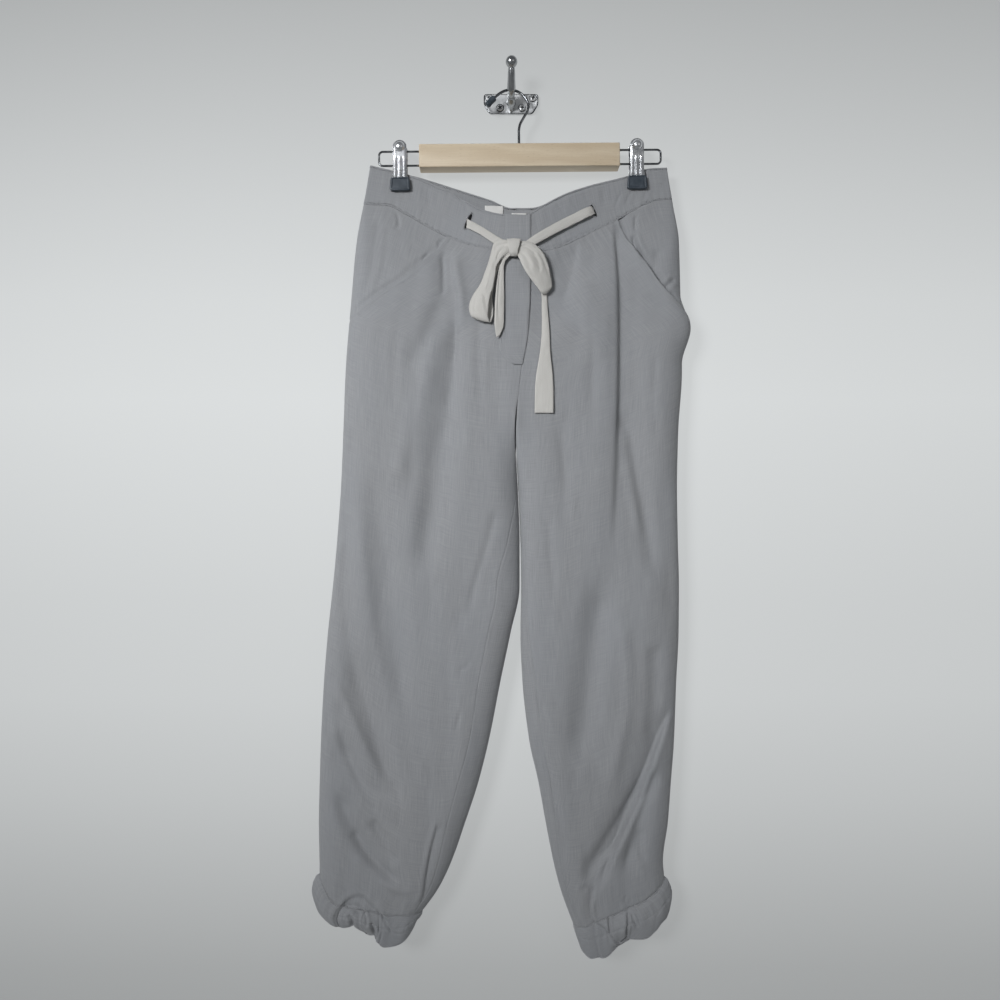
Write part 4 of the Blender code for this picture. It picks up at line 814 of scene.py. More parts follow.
def tapeMaterial():
    # Cotton tape: a slanted twill rib, its colour a little darker in the rib's hollows as painted shade,
    # and darker along soft rubbed streaks.
    made, start, shader = newMaterial("tape", Roughness=0.85, Sheen_Weight=0.2, Sheen_Roughness=0.4, IOR=1.4)
    uv = onCloth(start)
    across, along, _ = uv.parts()
    rib = abs(((across + along * 0.8) * (math.pi / tapeLook["pitch"])).sine())
    streak = stretched(start, uv, (420.0, 40.0, 1.0), detail=3.0)
    fibre = stretched(start, uv, (2400.0, 2400.0, 1.0), detail=1.0)
    tone = rib * 0.3 + streak * 0.5 + fibre * 0.2
    colour = tone.between(0.2, 0.75).blend(tapeLook["dark"], tapeLook["light"])
    dress(shader, colour, 0.78 + 0.14 * fibre, rib * 0.5 + streak * 0.5, tapeLook["bump"])
    return made


def labelMaterial():
    # Satin label: close fine ribs across, no print; its colour a little darker in the ribs' hollows as painted shade.
    made, start, shader = newMaterial("label", Roughness=0.55, Sheen_Weight=0.1, IOR=1.4)
    uv = onCloth(start)
    _, along, _ = uv.parts()
    rib = abs((along * (math.pi / 0.0005)).sine())
    worn = stretched(start, uv, (160.0, 160.0, 1.0), detail=3.0)
    colour = (worn * 0.7 + rib * 0.3).blend((0.68, 0.67, 0.65, 1), (0.80, 0.79, 0.775, 1))
    dress(shader, colour, 0.45 + 0.2 * worn, rib * 0.6 + worn * 0.4, 0.15, 0.0002)
    return made


beech = {
    "pale": (0.730, 0.620, 0.465, 1), "deep": (0.600, 0.480, 0.335, 1), "fleck": (0.42, 0.30, 0.19, 1),
}


def beechMaterial():
    # Grain runs along the bar: bent bands of growth, long fibres and short dark pores under thin lacquer.
    made, start, shader = newMaterial(
        "beech", Roughness=0.42, Coat_Weight=0.15, Coat_Roughness=0.3, Coat_IOR=1.5, IOR=1.45,
    )
    spot = inSpace(start)
    across, _, up = spot.parts()
    bend = stretched(start, spot, (7.0, 26.0, 26.0))
    band = abs(((up * 150.0) + (across * 9.0) + bend * 9.0).sine())
    fibre = stretched(start, spot, (28.0, 900.0, 900.0), detail=3.0)
    pore = stretched(start, spot, (160.0, 1900.0, 1900.0), detail=1.0).between(0.66, 0.74)
    tone = band * 0.32 + fibre * 0.5 + bend * 0.3
    grain = tone.between(0.25, 0.85).blend(beech["pale"], beech["deep"])
    colour = (pore * 0.45).blend(grain, beech["fleck"])
    dress(shader, colour, 0.34 + 0.2 * fibre, fibre * 0.6 - pore * 0.5, 0.12)
    return made


metals = {  # darkest and lightest reflection, lowest roughness and its spread, and how far specks dull it
    "chrome": ((0.64, 0.65, 0.67, 1), (0.88, 0.89, 0.91, 1), 0.22, 0.12, 0.10),
    # steel is also the dark metal of pieces that stand in as painted shade round the plate, its screws and their
    # crosses.
    "steel": ((0.11, 0.115, 0.125, 1), (0.28, 0.29, 0.30, 1), 0.14, 0.20, 0.30),
    "satin": ((0.66, 0.67, 0.68, 1), (0.95, 0.955, 0.96, 1), 0.42, 0.22, 0.14),
    "polished": ((0.36, 0.37, 0.38, 1), (0.50, 0.51, 0.52, 1), 0.25, 0.06, 0.03),
}


def metalMaterial(name):
    # Plated steel: cloudy fingermarks and rubbed scratches in its roughness, and fine dull specks.
    dark, light, low, spread, speckle = metals[name]
    made, start, shader = newMaterial(name, Metallic=1.0, Roughness=low)
    spot = inSpace(start)
    cloud = stretched(start, spot, (90.0, 90.0, 90.0), detail=4.0).between(0.32, 0.68)
    rub = stretched(start, spot, (900.0, 900.0, 60.0))
    speck = stretched(start, spot, (620.0, 620.0, 620.0)).between(0.52, 0.72)
    shaded = (speck * speckle).blend(cloud.blend(dark, light), (0.05, 0.05, 0.055, 1))
    roughness = low + spread * (cloud * 0.5 + rub * 0.5)
    dress(shader, shaded, roughness, rub * 0.6 + speck * 0.4, 0.04, 0.0002)
    return made


def rubberMaterial():
    # Soft dip-moulded tips: dark slate, slightly glossy, with a fine orange-peel skin.
    made, start, shader = newMaterial("rubber", Roughness=0.4, Specular_IOR_Level=0.5, IOR=1.5)
    spot = inSpace(start)
    peel = stretched(start, spot, (700.0, 700.0, 700.0))
    dust = stretched(start, spot, (120.0, 120.0, 120.0), detail=3.0)
    colour = dust.between(0.4, 0.75).blend((0.034, 0.046, 0.060, 1), (0.070, 0.086, 0.106, 1))
    dress(shader, colour, 0.3 + 0.25 * dust, peel, 0.12)
    return made


materials = {
    "linen": linenMaterial(), "tape": tapeMaterial(), "label": labelMaterial(), "beech": beechMaterial(),
    "rubber": rubberMaterial(),
}
materials.update({name: metalMaterial(name) for name in metals})
print("materials made")


# The drawstring: two strands of flat cotton tape that meet in a bow

tape = {
    "wall": 0.9, "flat": 24.0, "across": 15, "rumple": 0.34, "rumpleSeed": 5, "frontLift": 5.0, "frontOver": 2.0,
    "round": {"loopLeft": 3.0, "loopRight": 1.2}, "roundLength": 5.0,
}
# Each row crosses the tape from one edge to the other: x, height and lift off the cloth of either edge, then
# how far its middle is cupped forward.
tapeRoutes = {
    "strandRight": (
        (-57.2, -163.8, -1.4, -57.9, -176.2, -1.4, 0), (-57, -164.2, 1.2, -57.6, -176.4, 1.2, 0.1),
        (-53, -167.2, 3, -54, -178.4, 3, 0.4), (-47, -170.9, 3.4, -49.2, -181, 3.4, 0.5),
        (-38.5, -176.3, 3.6, -41.5, -185.5, 3.6, 0.6), (-27.1, -184, 4, -30.5, -193.4, 4, 0.6),
        (-16.8, -191.1, 4.4, -21.3, -200.4, 4.4, 0.6), (-9, -195.9, 4.8, -12.3, -206.2, 4.8, 0.6),
        (-3.2, -200.4, 5.4, -4.1, -210.7, 5.4, 0.5), (1.3, -203.6, 6, 1.9, -214, 6, 0.4),
        (3.2, -207.5, 6.4, 5.4, -216.1, 6.4, 0.4), (0, -210.2, 6.8, 6.4, -215.9, 6.8, 0.5),
        (-4.9, -212, 7.2, 0.6, -216.1, 7.2, 0.6), (-9.4, -215.2, 7.2, -3.9, -219, 7, 0.7),
        (-12.6, -221, 6.5, -7.7, -223.4, 6.3, 0.8), (-14.8, -228.8, 5.6, -9.5, -228.8, 5.2, 0.8),
        (-17, -240.4, 4.8, -9.9, -239.1, 4.4, 0.8), (-19.1, -254.6, 4.6, -9.8, -252, 4, 0.8),
        (-20.6, -273.9, 4.8, -9.4, -272.6, 3.8, 0.8), (-21.4, -293.3, 5, -9.8, -292, 3.6, 0.7),
        (-21.4, -308.8, 5, -10.7, -308.8, 3.6, 0.6), (-19.1, -322.3, 4.4, -15.2, -319.7, 3.6, 0.3),
    ),
    "strandLeft": (
        (108.9, -156.3, -1.4, 104.7, -146.7, -1.4, 0.5), (108.6, -156.5, 1.2, 104.4, -146.9, 1.2, 0.5),
        (104.9, -159, 3.6, 100.1, -148.6, 3.6, 0.7), (84.6, -169.9, 4.2, 79.4, -159.1, 4.2, 0.8),
        (58.9, -184.2, 4.6, 53.1, -173.8, 4.6, 1), (32.2, -200, 5.2, 26.8, -191, 5.2, 1.1),
        (22.6, -204.6, 6, 17.4, -198.4, 6, 0.8), (17.4, -207.9, 6, 10.6, -206.1, 6, 0.7),
        (17.4, -212.9, 4.8, 10.6, -214.1, 4.8, 0.7), (24, -217.6, 2.2, 16.2, -221, 2.2, 0.6),
        (35.6, -238.3, 1.6, 28.2, -240.3, 1.6, 0.5), (44.2, -259.8, 1.5, 37.4, -260.6, 1.5, 0.5),
        (46, -284, 1.8, 38.6, -284, 1.8, 0.9), (48, -312, 2.2, 38.4, -312, 2.2, 1.1),
        (48.9, -338, 2.4, 36.4, -338, 2.4, 0.9), (52.2, -372, 2.6, 30.8, -372, 2.6, 0.5),
        (53, -418, 2.6, 29, -418, 2.6, 0.2),
    ),
    "loopRight": (
        (-1.4, -198.6, 9, -0.7, -212, 8.5, 0.4), (-7.8, -196.7, 9.5, -5.2, -214, 9.5, 0.8),
        (-14.8, -196.3, 9, -11, -219.1, 10, 1), (-21.2, -198.6, 8, -16.1, -225.5, 10, 1.4),
        (-24.7, -207.6, 7.6, -19.6, -231.9, 10, 1.8), (-28.3, -221.7, 7.6, -20.6, -239.6, 9.8, 2),
        (-33.8, -238.3, 7.8, -21.9, -249.9, 10, 2), (-39.8, -255, 8.5, -24.2, -261.4, 10.5, 2.2),
        (-48.8, -269.1, 9, -26.8, -269.7, 11, 2.6), (-53, -279.3, 9, -28.5, -279.3, 11.5, 2.8),
        (-53.5, -288.3, 8.5, -29.6, -290.9, 11, 2.4), (-51.1, -295.4, 7, -29.1, -299.9, 9, 1.4),
        (-48.2, -296.7, 4.6, -27, -303.4, 6, 0.2), (-46.2, -294.1, 3, -24.2, -296.7, 3.8, -0.6),
        (-44.3, -283.2, 2.8, -23.4, -285.8, 3.6, -0.8), (-39.8, -270.4, 2.6, -24.7, -272.9, 3.4, -0.8),
        (-32.1, -251.1, 2.6, -22.5, -256.3, 3.4, -0.5), (-25.7, -228.1, 3.2, -18, -235.8, 4, -0.3),
        (-16.8, -207.6, 4.5, -10.3, -217.8, 5, 0), (-7.8, -202.4, 5.5, -5.2, -212.7, 6, 0),
    ),
    "loopLeft": (
        (4.4, -212.7, 7, 8.2, -197.9, 8, 0.6), (7, -216.5, 9, 15.3, -198.3, 9.5, 1.2),
        (10.2, -222.9, 10.5, 24.9, -200.1, 9.5, 2), (13.4, -230.6, 11.5, 34.5, -206.3, 9, 2.5),
        (17.9, -239, 12, 41.6, -214.6, 8.5, 2.5), (23, -245.4, 12, 46.3, -226.1, 8, 2.2),
        (28.1, -251.8, 11.5, 49.5, -239.6, 7.5, 2), (33.2, -258.8, 10.5, 51.4, -251.1, 7, 1.6),
        (37.1, -263.7, 8.6, 50.6, -258.2, 6.4, 1), (38.6, -265.2, 6, 49.5, -259.5, 5, 0.3),
        (37.1, -262.7, 3.4, 48.6, -256.3, 3.4, 0), (32.6, -256.3, 2.8, 46.3, -247.3, 2.8, 0),
        (26.2, -247.9, 2.8, 42, -230.6, 2.8, 0), (19.1, -237.7, 3.4, 35.6, -217.8, 3.4, 0),
        (12.7, -224.2, 4, 24.3, -207.6, 4, 0), (8.2, -215.2, 5, 15.3, -202.4, 5, 0),
    ),
    "knotWrap": (
        (-5.2, -196.8, 3, 11.2, -196.8, 3, 0.2), (-6, -195.2, 6.5, 12, -195.2, 6.5, 0.3),
        (-6.2, -196, 10.5, 11.8, -196, 10.5, 0.5), (-5.7, -199.2, 13, 11.2, -198.8, 13, 0.8),
        (-4.8, -205, 14, 9.9, -205, 14, 1), (-3.5, -210.8, 13.5, 8.5, -210.8, 13.5, 0.9),
        (-2.7, -215.2, 11.5, 7.6, -215.5, 11.5, 0.7), (-1.8, -217.6, 8.5, 6.8, -217.8, 8.5, 0.5),
        (-1.4, -216.8, 5, 6.6, -217, 5, 0.3), (-1.4, -214.6, 3, 6.6, -214.9, 3, 0.2),
    ),
}


def ribbon(name, rows, steps):
    # The line runs midway between the edges and carries half the way across beside it. A point is the line
    # plus a share of that half, plus a parabola of the share square to the tape, less its creases.
    table = np.array(rows, float)
    edges = []
    for first in (0, 3):
        x, height, lift = table[:, first:first + 3].T
        edges.append(pointsOf(x, frontFace(x, height) + cloth["bandWall"] / 2 + lift, height))
    middle, half = (edges[0] + edges[1]) / 2, (edges[1] - edges[0]) / 2
    lifts = (table[:, 2] + table[:, 5]) / 2
    line = through(np.column_stack((middle, half, table[:, 6], lifts)), steps)
    across, side = line[:, 3:6], np.linspace(-1, 1, tape["across"])
    lift = unit(np.cross(np.gradient(line[:, :3], axis=0), across))
    forward = lift[:, 1:2] / (np.abs(lift[:, 1:2]) + 0.1)
    run = lengthAlong(line[:, :3])
    rumple = tape["rumple"] * softNoise(run[:, None] / 8.0, side[None, :] * 1.6 + 7.0, tape["rumpleSeed"])
    cup = (line[:, 6][:, None] * (1 - side ** 2) + rumple) * forward
    points = line[:, None, :3] + across[:, None, :] * side[None, :, None] + lift[:, None, :] * cup[..., None]
    shown = 1.0 if "strand" in name else ease((line[:, 7:8] - tape["frontLift"]) / tape["frontOver"])
    points[..., 1] -= creaseField(name, "bow", points[..., 0], points[..., 2]) * shown
    if name in tape["round"]:  # a loop's foot is rounded: it hangs lower in its middle than at its edges
        near = np.exp(-(((run - run[line[:, 2].argmin()]) / tape["roundLength"]) ** 2))
        points[..., 2] -= tape["round"][name] * near[:, None] * (1 - side ** 2)
    return line, points


tapePieces = {}
for name, steps, solids in (
    ("strandRight", 150, ("drawstring_run_right", "drawstring_tail_right")),
    ("strandLeft", 170, ("drawstring_run_left", "drawstring_tail_left")),
    ("loopRight", 150, ("drawstring_loop_right",)),
    ("loopLeft", 140, ("drawstring_loop_left",)),
    ("knotWrap", 70, ("drawstring_knot",)),
):
    line, points = ribbon(name, tapeRoutes[name], steps)
    share = np.linspace(0, tape["flat"], tape["across"])[None, :]
    uv = np.stack(np.broadcast_arrays(share, gridRun(points, 0)[:, 7:8]), axis=-1)
    piece = makeMesh(name, points.reshape(-1, 3), gridFaces(*points.shape[:2]), uv.reshape(-1, 2), "tape")
    addWall(piece, tape["wall"])
    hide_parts(*solids)
    tapePieces[name] = (piece, line)


knot = {
    "x": 1.5, "z": -206.0, "wide": 25.0, "deep": 11.0, "tall": 13.0, "lift": 7.4, "rows": 49, "around": 72,
    "creases": 7, "sway": 2.0, "creaseDeep": 0.09, "lumpDeep": 0.05, "lumpSeed": 31, "blunt": 0.7,
}


def knotCore():
    # The gathered turns under the wrap: an egg lying across, with creases that fan from its ends.
    base = float(frontFace(knot["x"], knot["z"])) + cloth["bandWall"] / 2 + knot["lift"]
    polar = np.linspace(0.0, math.pi, knot["rows"])[:, None]
    turn = circle(knot["around"])
    fan = np.sin(turn * knot["creases"] + knot["sway"] * np.cos(polar)) * np.cos(polar) ** 2
    lumps = softNoise(polar * 4, np.sin(turn) * 2.5 + 5, knot["lumpSeed"])
    bulge = 1 + knot["creaseDeep"] * fan + knot["lumpDeep"] * lumps
    ring = np.sin(polar) ** knot["blunt"] * bulge
    x = knot["x"] - knot["wide"] / 2 * np.cos(polar)
    depth = base + knot["deep"] / 2 * ring * np.cos(turn)
    height = knot["z"] + knot["tall"] / 2 * ring * np.sin(turn)
    return gridPiece(
        "knotCore", pointsOf(x, depth, height), "tape", replaced=("drawstring_knot",), roundColumns=True,
    )


tapePieces["knotCore"] = (knotCore(), None)
for name, length, wide, others in (
    ("strandRight", 0.206, 0.012, ("loopRight", "knotCore", "knotWrap")),
    ("strandLeft", 0.33, 0.017, ("loopLeft",)),
):
    piece, line = tapePieces[name]
print("drawstring made")


# The cloth pieces


def declare(piece, points, rests):
    print(piece.name, "shows", round(areaOf(points), 5), "square metres")


def clothPiece(name, solid, points, wall, rests, slot="linen"):
    piece = gridPiece(name, points, slot, wall, (solid,))
    declare(piece, points, rests)


panelRows = spreadShares(226, 870.0)  # shares of the way down a leg


def legFront(leg):
    top, foot = (waistSeam, -cloth["seam"] / 2), (hem[leg], cloth["seam"])
    points = panel(clothTable(leg, "front"), spreadShares(78, 215.0), top, foot, panelRows)
    if leg == "left":
        points[..., 1] += pocketGape(points[..., 0], points[..., 2])
    points = rollEdges(points, 1, ("top", "foot", "last"))
    rests = ("waistband_front_" + leg,)
    clothPiece("legFront" + leg.capitalize(), "leg_front_" + leg, points, cloth["wall"], rests)
    return points


def pocketGape(x, height):  # how far the left pocket's mouth stands forward of the hip
    near = np.exp(-(((x - mouthAt("left", height)) / openPocket["gapeWidth"]) ** 2))
    foot = ease((height - openPocket["foot"]) / openPocket["gapeFootBlend"])
    head = ease((openPocket["gapeHead"] - height) / openPocket["gapeHeadBlend"])
    return openPocket["gape"] * near * foot * head


def legBack(leg):
    top, foot = (waistBackTop, -cloth["bandDrop"] - cloth["seam"] / 2), (hem[leg], cloth["seam"])
    points = panel(clothTable(leg, "back"), spreadShares(84, 240.0), top, foot, panelRows)
    points = rollEdges(points, -1, ("top", "foot", "first", "last"))
    rests = ("waistband_back",)
    clothPiece("legBack" + leg.capitalize(), "leg_back_" + leg, points, cloth["wall"], rests)


def pocketFacing(leg):
    bottom = pocketMouth[leg][-1][1] + facing["below"]
    top = (waistSeam, -cloth["seam"] / 2 - gap)
    points = panel(clothTable(leg, "facing"), np.linspace(0, 1, 44), top, bottom, np.linspace(0, 1, 84))
    x, height = points[..., 0], points[..., 2]
    under = ease((signOf(leg) * (mouthAt(leg, height) - x) + facing["underFrom"]) / facing["underBlend"])
    low = ease((bottom + facing["lowFrom"] - height) / facing["lowBlend"])
    deeper = ease((curveFrom(waistSeam, x) - height) / facing["deeperOver"])
    fromEdge = ease(np.abs(x - outerEdge(leg, "back", height)) / facing["edgeBlend"])
    drop = (facing["drop"][leg] + facing["deeper"][leg] * deeper) * fromEdge
    drop = drop + (np.maximum(facing["lowDrop"], facing["drop"][leg]) - facing["drop"][leg]) * low
    points[..., 1] -= drop * np.maximum(under, low)
    points[..., 0] -= signOf(leg) * facing["lowDrop"] * low
    rests = ("waistband_front_" + leg,)
    clothPiece("pocketFacing" + leg.capitalize(), "pocket_facing_" + leg, points, cloth["wall"], rests)


slits = {"right": (-55.6, -167.0, 21.0, 24.0), "left": (107.2, -152.0, 16.5, -24.0)}
slitWidth = 5.0


def slitOutline(leg, reach, count):  # x and height round a slit, a leaning lens, grown by a reach
    x, z, tall, lean = slits[leg]
    turn = circle(count)
    across = (slitWidth / 2 + reach) * np.cos(turn)
    up = (tall / 2 + reach) * signedPower(np.sin(turn), 0.7)
    across, up = turned(across, up, math.radians(lean))
    return x + across, z + up


def slitCutter(leg):  # that lens, drawn out through the band
    count, reach = 28, 4.0
    x, z = slitOutline(leg, 0.0, count)
    depth = float(frontFace(*slits[leg][:2]))
    rings = np.stack([pointsOf(x, depth + way * reach, z) for way in (-1, 1)])
    mesh = bpy.data.meshes.new("slit")
    caps = [list(range(count)), list(range(count, 2 * count))[::-1]]
    sides = gridFaces(2, count, roundColumns=True)[:, ::-1].tolist()
    mesh.from_pydata(place(rings.reshape(-1, 3)).tolist(), [], caps + sides)
    mesh.validate()
    cutter = bpy.data.objects.new("slit", mesh)
    fixNormals(cutter)
    return cutter


def cutOut(piece, cutter):  # the piece's mesh becomes what is left of it, with its wall
    bpy.context.scene.collection.objects.link(cutter)
    cut = piece.modifiers.new("slit", "BOOLEAN")
    cut.operation = "DIFFERENCE"
    cut.object = cutter
    cut.use_self = True
    bpy.context.view_layer.update()
    made = bpy.data.meshes.new_from_object(piece.evaluated_get(bpy.context.evaluated_depsgraph_get()))
    piece.modifiers.clear()
    piece.data = made
    bpy.data.objects.remove(cutter)


bandEdges = (0.5, 1.2, 2.2)  # the close rows at a waistband's edges


def waistbands():
    grids = {}
    for leg in ("right", "left"):
        share, down = np.linspace(0, 1, 120), spreadShares(28, 48.0, bandEdges)
        points = panel(clothTable(leg, "band"), share, (waistFrontTop, 0.0), (waistSeam, cloth["seam"] / 2), down)
        grids[leg] = points = rollEdges(points, 1, ("foot",))
        name, solid = "waistbandFront" + leg.capitalize(), "waistband_front_" + leg
        piece = gridPiece(name, points, "linen", cloth["bandWall"], (solid,))
        cutOut(piece, slitCutter(leg))
        declare(piece, points, ("clip_front_tip_" + leg,))
    return grids


def waistbandBack():
    seam = [(x, z - cloth["bandDrop"]) for x, z in waistBackTop]
    halves = []
    for leg in ("right", "left"):
        share, down = np.linspace(0, 1, 110), spreadShares(26, 50.0, bandEdges)
        table = wholeSection(leg, "back", 1, 0)
        halves.append(panel(table, share, (waistBackTop, 0.0), (seam, cloth["seam"] / 2), down))
    centre = (halves[0][:, :1] + halves[1][:, :1]) / 2
    points = np.concatenate((halves[0][:, :0:-1], centre, halves[1][:, 1:]), axis=1)
    points = rollEdges(points, -1, ("foot",))
    rests = ("clip_back_tip_right", "clip_back_tip_left")
    clothPiece("waistbandBack", "waistband_back", points, cloth["bandWall"], rests)
    return points


tabSize = {"x0": -7.5, "x1": 25.0, "wall": 0.8, "roll": 0.25, "rollWide": 1.6}
fly = {
    "edge": ((-209, 25.5), (-274, 24), (-320, 20.5), (-362, 12.5)),
    "stitch": ((-209, -9.5), (-300, -13), (-338, -16)),
    "foot": -356.0, "turn": -329.0, "wall": 0.8, "lift": 1.5 * gap, "roll": 0.45, "startRoll": 2.2, "edgeRoll": 1.6,
    "slack": 2.0, "stitchSlack": 0.5, "stitchLift": 0.05,
}


def waistbandTab():
    x = np.linspace(tabSize["x0"], tabSize["x1"], 34)
    top = curveFrom(waistFrontTop, x) - 2 * gap
    foot = curveFrom(waistSeam, x) + gap
    height = top + (foot - top) * np.linspace(0, 1, 50)[:, None]
    lift = cloth["bandWall"] / 2 + gap + tabSize["wall"] / 2
    points = pointsOf(x, frontFace(x, height) + lift, height)
    fromEdge = np.minimum(x - tabSize["x0"], tabSize["x1"] - x)
    points[..., 1] -= tabSize["roll"] * np.exp(-(fromEdge / tabSize["rollWide"]) ** 2)
    rests = ("waistband_front_right", "waistband_front_left")
    clothPiece("waistbandTab", "waistband_tab", points, tabSize["wall"], rests)


def flySides(height, inset, slack):
    # A J: its stitched side runs straight down and turns by a quarter ellipse to the fly edge. Slack leaves
    # the ellipse a little open where it meets the edge.
    edge = curveFrom(fly["edge"], height)
    straight = curveFrom(fly["stitch"], height) + inset
    turn = np.clip((fly["turn"] - height) / (fly["turn"] - fly["foot"] - inset + slack), 0.0, 1.0)
    return edge - (edge - straight) * np.sqrt(1 - turn ** 2), edge


def flyPlacket():
    height = np.linspace(fly["edge"][0][0] - gap, fly["foot"], 110)[:, None]
    start, edge = flySides(height, 0.0, fly["slack"])
    x = start + (edge - start) * np.linspace(0, 1, 30)
    lift = cloth["wall"] / 2 + fly["lift"] + fly["wall"] / 2
    points = pointsOf(x, frontFace(x, height) + lift, height)
    fromStart = gridRun(points, 1)
    fromEdge = fromStart[:, -1:] - fromStart
    rolled = np.exp(-(fromStart / fly["startRoll"]) ** 2) + np.exp(-(fromEdge / fly["edgeRoll"]) ** 2)
    points[..., 1] -= fly["roll"] * rolled
    rests = ("leg_front_right", "leg_front_left")
    clothPiece("flyPlacket", "fly_placket", points, fly["wall"], rests)


labels = {  # each label's solid, and the x and height of its sides
    "labelMain": ("label_main", -34.5, -10.5, -141.5, -182.0),
    "labelSmall": ("label_small", 0.5, 20.0, -150.5, -184.0),
}
labelWall, labelCurl = 0.5, 0.6


def labelPieces():
    for name, (solid, x0, x1, z0, z1) in labels.items():
        height, x = np.meshgrid(np.linspace(z0, z1, 30), np.linspace(x0, x1, 22), indexing="ij")
        depth = depthAt("right", "back", np.minimum(x, cloth["backCentre"]), height)
        bow = (x - x0) * (x1 - x) / (x1 - x0) ** 2 * 4  # a parabola across, times a half sine down
        curl = labelCurl * bow * np.sin((height - z1) / (z0 - z1) * math.pi)
        points = pointsOf(x, depth + cloth["bandWall"] / 2 + gap + labelWall / 2 + curl, height)
        clothPiece(name, solid, points, labelWall, ("waistband_back",), "label")


# The cuffs: the hem's ring, swollen and gathered by elastic, with a channel seam and listed tucks

cuffFoot = {
    "right": ((-262, -1036), (-260, -1042), (-254, -1049), (-245, -1057.5), (-232, -1065), (-218, -1070.5),
              (-210, -1070), (-203, -1067), (-198, -1072), (-190, -1078.5), (-180, -1083.5), (-175, -1082),
              (-172, -1089.5), (-161, -1097.5), (-148, -1096), (-137, -1091), (-124, -1075), (-114, -1060)),
    "left": ((72, -1062), (76, -1068), (79, -1076), (83, -1095), (88, -1103), (93, -1109), (102, -1113.5),
             (109, -1111.5), (118, -1111), (132, -1100), (146, -1092), (152, -1087), (169, -1085),
             (183, -1075.5), (191, -1067), (202, -1062), (206, -1054), (208, -1046)),
}
cuff = {
    "half": 150, "rows": 52, "ruffles": 13, "swell": 7.5, "draw": 4.5, "outerSwell": 9.5, "lean": 4.5, "narrow": 0.06,
    "ripple": {"front": 0.5, "back": 1.9}, "least": 14.0, "leastOuter": 26.0, "flat": 1.15, "channel": 0.42,
    "fineRuffles": 29, "fineDepth": 0.3, "inner": 0.15, "channelWide": 0.035, "channelDeep": 0.6, "puckerWide": 0.16,
    "start": 0.12, "noise": 0.35, "noiseWide": 6.0, "noiseTall": 9.0, "noiseSeed": 41, "uneven": 0.25,
    "drift": 1.1, "fineDrift": 2.0, "swellOver": 1.05, "outerFrom": 0.08, "outerOver": 0.64,
    "rippleFrom": 0.15, "rippleOver": 0.8, "innerCalm": 0.7,
}
# How far round the cuff each zone reaches: what is added to a sine or cosine, and over how much it then eases in.
cuffZones = {
    "outer": (-0.55, 0.4), "inner": (-0.2, 0.7), "full": (0.9, 1.2), "frontRipple": (0.3, 0.6), "tucks": (-0.15, 0.4),
}
cuffLevels = spreadShares(cuff["rows"], 34.0, (0.4, 1.0, 1.8))


def cuffRing(leg):  # the front and back edge of the hem, joined to one closed line
    rings = []
    half = np.linspace(0, 1, cuff["half"])
    for side in ("front", "back"):
        table = wholeSection(leg, side, 0, 1)
        height = edgeHeights(table, half, hem[leg], 0.0)
        ring = np.concatenate((readTable(table, half, height), height[:, None]), axis=-1)
        rings.append(ring if side == "front" else ring[::-1])
    rings[0][-1] = rings[1][0] = (rings[0][-1] + rings[1][0]) / 2
    rings[0][0] = rings[1][-1] = (rings[0][0] + rings[1][-1]) / 2
    return np.concatenate((rings[0][:-1], rings[1][:-1]))


def cuffZone(name, way):
    add, over = cuffZones[name]
    return ease((way + add) / over)


